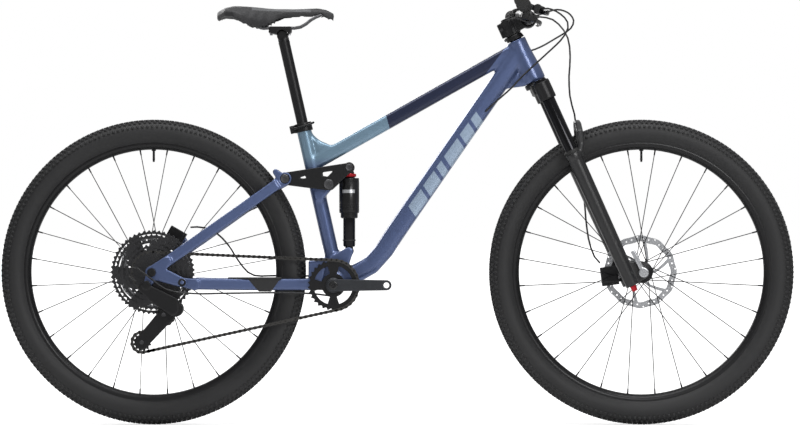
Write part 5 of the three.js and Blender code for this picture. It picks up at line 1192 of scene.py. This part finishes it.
body_profile = [(0.0155, cassette_high.y), (0.0180, cassette_high.y), (0.0180, cassette_low.y + 0.004),
                (0.0148, cassette_low.y), (0.0135, cassette_low.y)]
sprockets.append(turned("cassette_body", body_profile, dark_steel, steps=40))
cassette = joined("cassette_piece", sprockets)
moved(cassette, (cassette_centre.x, 0, cassette_centre.z))
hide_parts("cassette")
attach(cassette, "cogs")


# --- Derailleur, cage and pulleys --------------------------------------------------------------------------
# A forged and moulded clutch derailleur; two pressed cage plates hold two twelve-tooth pulleys.
derailleur = rounded_from("derailleur_skin", ["derailleur"], satin_black, cell=0.0010, rounds=7)
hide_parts("derailleur")
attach(derailleur, "seatstay_arm")
cage_skin = rounded_from("cage_skin", ["derailleur_cage"], satin_black, cell=0.0009, rounds=4)
cage_bolts = []
for name in ("upper_pulley_spin", "lower_pulley_spin"):
    spot = joint_point(name)
    foot = (spot.x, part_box("derailleur_cage")[0].y, spot.z)
    cage_bolts.append(bolt("cage_bolt", foot, (0, -1, 0), 0.0052, dark_steel, 0.002))
cage_piece = joined("cage_piece", [cage_skin, *cage_bolts])
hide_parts("derailleur_cage")
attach(cage_piece, "cage")
PULLEY_TEETH = 12
for node, joint, body in (("guide_pulley", "upper_pulley_spin", "upper_pulley"),
                          ("tension_pulley", "lower_pulley_spin", "lower_pulley")):
    low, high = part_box(node)
    tip = (high.x - low.x) / 2 + 0.003
    slots = [window(0.0078, 0.0140, 2 * math.pi * i / 5, 2 * math.pi * i / 5 + 0.8, 4) for i in range(5)]
    outlines = [gear_outline(PULLEY_TEETH, tip - 0.0050, tip), *slots]
    wheel = flat_plate(node + "_plate", outlines, 0.0016, moulded_black)
    bearing_profile = [(0.0035, -0.0034), (0.0068, -0.0034), (0.0068, 0.0034), (0.0035, 0.0034)]
    bearing = turned("bearing", bearing_profile, dark_steel, 24)
    pulley = joined(node + "_piece", [wheel, bearing])
    spot = joint_point(joint)
    moved(pulley, (spot.x, (low.y + high.y) / 2, spot.z))
    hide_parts(node)
    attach(pulley, body)


# --- Chain: outer and inner links on rivets ----------------------------------------------------
# Twelve-speed chain: pressed side plates in pairs on round rivets, every second pair outside
# its neighbours.
def links_on_path_group():
    """Geometry nodes: two kinds of piece in turn along a curve, each turned along it."""
    group = bpy.data.node_groups.new("links_on_path", "GeometryNodeTree")
    face = group.interface
    face.new_socket("Geometry", in_out="INPUT", socket_type="NodeSocketGeometry")
    face.new_socket("Path", in_out="INPUT", socket_type="NodeSocketObject")
    face.new_socket("Outer Link", in_out="INPUT", socket_type="NodeSocketObject")
    face.new_socket("Inner Link", in_out="INPUT", socket_type="NodeSocketObject")
    face.new_socket("Count", in_out="INPUT", socket_type="NodeSocketInt")
    face.new_socket("Material", in_out="INPUT", socket_type="NodeSocketMaterial")
    face.new_socket("Geometry", in_out="OUTPUT", socket_type="NodeSocketGeometry")
    nodes, links = group.nodes, group.links
    given = nodes.new("NodeGroupInput")
    made = nodes.new("NodeGroupOutput")
    path = nodes.new("GeometryNodeObjectInfo")
    points = nodes.new("GeometryNodeCurveToPoints")
    points.mode = "COUNT"
    tangent = nodes.new("GeometryNodeInputTangent")
    align = nodes.new("FunctionNodeAlignEulerToVector")
    align.axis = "X"
    align.pivot_axis = "Y"
    index = nodes.new("GeometryNodeInputIndex")
    parity = nodes.new("ShaderNodeMath")
    parity.operation = "MODULO"
    parity.inputs[1].default_value = 2
    inner_pick = nodes.new("FunctionNodeCompare")
    inner_pick.data_type = "FLOAT"
    inner_pick.operation = "LESS_THAN"
    inner_pick.inputs["B"].default_value = 0.5
    outer_pick = nodes.new("FunctionNodeBooleanMath")
    outer_pick.operation = "NOT"
    join = nodes.new("GeometryNodeJoinGeometry")
    real = nodes.new("GeometryNodeRealizeInstances")
    paint = nodes.new("GeometryNodeSetMaterial")
    links.new(given.outputs["Path"], path.inputs["Object"])
    links.new(path.outputs["Geometry"], points.inputs["Curve"])
    links.new(given.outputs["Count"], points.inputs["Count"])
    links.new(points.outputs["Tangent"], align.inputs["Vector"])
    links.new(index.outputs["Index"], parity.inputs[0])
    links.new(parity.outputs["Value"], inner_pick.inputs["A"])
    links.new(inner_pick.outputs["Result"], outer_pick.inputs[0])
    for pick, piece_name in (
            (inner_pick.outputs["Result"], "Inner Link"), (outer_pick.outputs["Boolean"], "Outer Link")):
        piece = nodes.new("GeometryNodeObjectInfo")
        copies = nodes.new("GeometryNodeInstanceOnPoints")
        links.new(given.outputs[piece_name], piece.inputs["Object"])
        links.new(piece.outputs["Geometry"], copies.inputs["Instance"])
        links.new(points.outputs["Points"], copies.inputs["Points"])
        links.new(pick, copies.inputs["Selection"])
        links.new(align.outputs["Rotation"], copies.inputs["Rotation"])
        links.new(copies.outputs["Instances"], join.inputs["Geometry"])
    links.new(join.outputs["Geometry"], real.inputs["Geometry"])
    links.new(real.outputs["Geometry"], paint.inputs["Geometry"])
    links.new(given.outputs["Material"], paint.inputs["Material"])
    links.new(paint.outputs["Geometry"], made.inputs["Geometry"])
    return group


LINKS_ON_PATH = links_on_path_group()
chain_steel = finish("chain_steel", (0.085, 0.083, 0.080), roughness=0.34, metallic=0.9, grain=1500, tint=0.3)


def link(name, half_width):
    """One link: two waisted plates half_width from the middle, with a rivet at its rear end."""
    outline = []
    end = 0.0042
    for step in range(7):
        turn = math.pi / 2 - math.pi * step / 6
        outline.append((CHAIN_PITCH / 2 + end * math.cos(turn), end * math.sin(turn)))
    outline.append((0, -end * 0.72))
    for step in range(7):
        turn = -math.pi / 2 - math.pi * step / 6
        outline.append((-CHAIN_PITCH / 2 + end * math.cos(turn), end * math.sin(turn)))
    outline.append((0, end * 0.72))
    plates = []
    for side in (-1, 1):
        side_plate = flat_plate("side_plate", [outline], 0.0009, chain_steel, bevel=0.0001)
        plates.append(moved(side_plate, (0, side * half_width, 0)))
    plates.append(rod_between(
        "rivet", (-CHAIN_PITCH / 2, -0.0027, 0), (-CHAIN_PITCH / 2, 0.0027, 0), 0.0019, chain_steel, 8))
    return joined(name, plates)


outer_link = link("outer_link", 0.00225)
inner_link = link("inner_link", 0.00135)


def tangent_points(first, first_radius, second, second_radius, above_first, above_second):
    """Where a straight run leaves one circle and meets another; the signs say which side it runs on."""
    away = Vector((second.x - first.x, second.z - first.z))
    reach = away.length
    angle = math.atan2(away.y, away.x)
    lean = math.acos((above_first * first_radius - above_second * second_radius) / reach)
    side = angle + lean
    normal = Vector((math.cos(side), math.sin(side)))
    start = Vector((first.x, first.z)) + normal * (above_first * first_radius)
    end = Vector((second.x, second.z)) + normal * (above_second * second_radius)
    return start, end


def arc(middle, radius, start, end, direction, steps=24):
    """Points round a circle from start to end; direction is +1 anticlockwise as seen from the chain side."""
    first = math.atan2(start.y - middle.z, start.x - middle.x)
    last = math.atan2(end.y - middle.z, end.x - middle.x)
    sweep = (last - first) % (2 * math.pi)
    if direction < 0:
        sweep -= 2 * math.pi
    return [Vector((middle.x + radius * math.cos(first + sweep * i / steps),
                    middle.z + radius * math.sin(first + sweep * i / steps))) for i in range(steps + 1)]


def chain_piece(name, node, body, route):
    """Links along the route, riding on the body that carries this part of the chain."""
    path_data = bpy.data.curves.new(name, "CURVE")
    path_data.dimensions = "3D"
    line = path_data.splines.new("POLY")
    line.points.add(len(route) - 1)
    for point, spot in zip(line.points, route):
        point.co = (spot.x, ring_y, spot.y, 1)
    path_object = new_piece(name + "_path", path_data)
    length = sum((b - a).length for a, b in zip(route, route[1:]))
    count = max(2, round(length / CHAIN_PITCH) + 1)
    piece = grown(name, LINKS_ON_PATH, path=path_object, outer_link=outer_link, inner_link=inner_link,
                  count=count, material=chain_steel)
    bpy.data.objects.remove(path_object)
    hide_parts(node)
    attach(piece, body)


cog = joint_point("cassette_spin")
guide = joint_point("upper_pulley_spin")
tension = joint_point("lower_pulley_spin")
CHAIN_COG_TEETH = 24  # the sprocket that carries the chain
LOOSE_END = 0.035  # share of the lower run that the cage carries
REAR_SPLIT = 0.45  # where the run from sprocket to pulley changes bodies
RING_RADIUS = pitch_radius(RING_TEETH)
COG_RADIUS = pitch_radius(CHAIN_COG_TEETH)
PULLEY_RADIUS = pitch_radius(PULLEY_TEETH)
upper_start, upper_end = tangent_points(cog, COG_RADIUS, bottom_bracket, RING_RADIUS, 1, 1)
lower_start, lower_end = tangent_points(bottom_bracket, RING_RADIUS, tension, PULLEY_RADIUS, 1, 1)
guide_start, guide_end = tangent_points(cog, COG_RADIUS, guide, PULLEY_RADIUS, -1, 1)
between_start, between_end = tangent_points(guide, PULLEY_RADIUS, tension, PULLEY_RADIUS, 1, -1)
chain_piece("chain_top", "chain_upper", "chain_front",
            [upper_start, *arc(bottom_bracket, RING_RADIUS, upper_end, lower_start, -1)])
chain_piece("chain_bottom", "chain_lower_run", "chain_below",
            [lower_start, lower_start.lerp(lower_end, 1 - LOOSE_END)])
chain_piece("chain_rear", "chain_rear_wrap", "seatstay_arm",
            [*arc(cog, COG_RADIUS, upper_start, guide_start, 1), guide_start.lerp(guide_end, REAR_SPLIT)])
chain_piece("chain_cage", "chain_cage_wrap", "cage",
            [guide_start.lerp(guide_end, REAR_SPLIT),
             *arc(guide, PULLEY_RADIUS, guide_end, between_start, -1),
             *arc(tension, PULLEY_RADIUS, between_end, lower_end, 1), lower_end.lerp(lower_start, LOOSE_END)])
bpy.data.objects.remove(outer_link)
bpy.data.objects.remove(inner_link)


# --- Hoses and cables ---------------------------------------------------------------------------------------
# Black nylon housings, each rounded and smoothed from its CAD piece.
hose_black = finish("hose_black", (0.012, 0.012, 0.013), roughness=0.42, grain=1400, bump=0.00002, tint=0.1)
for node, a, b, start, end in (
        ("rear_brake_hose_front", "frame", "steering_unit", (0.250, -0.035, 0.800), (0.400, -0.070, 0.960)),
        ("shift_cable_front", "frame", "steering_unit", (0.330, 0.020, 0.915), (0.420, 0.010, 0.985)),
        ("front_brake_hose", "steering_unit", "lowers", (0.421, 0.040, 0.850), (0.445, 0.090, 0.660)),
        ("rear_brake_hose", "chainstay_arm", "seatstay_arm",
         (-0.360, 0.060, 0.370), (-0.446, 0.050, 0.468)),
        ("derailleur_cable", "chainstay_arm", "seatstay_arm",
         (-0.420, -0.067, 0.322), (-0.600, -0.098, 0.360))):
    hose = rounded_from(node + "_skin", [node], hose_black, cell=0.0011, rounds=6)
    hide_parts(node)
    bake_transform(hose)
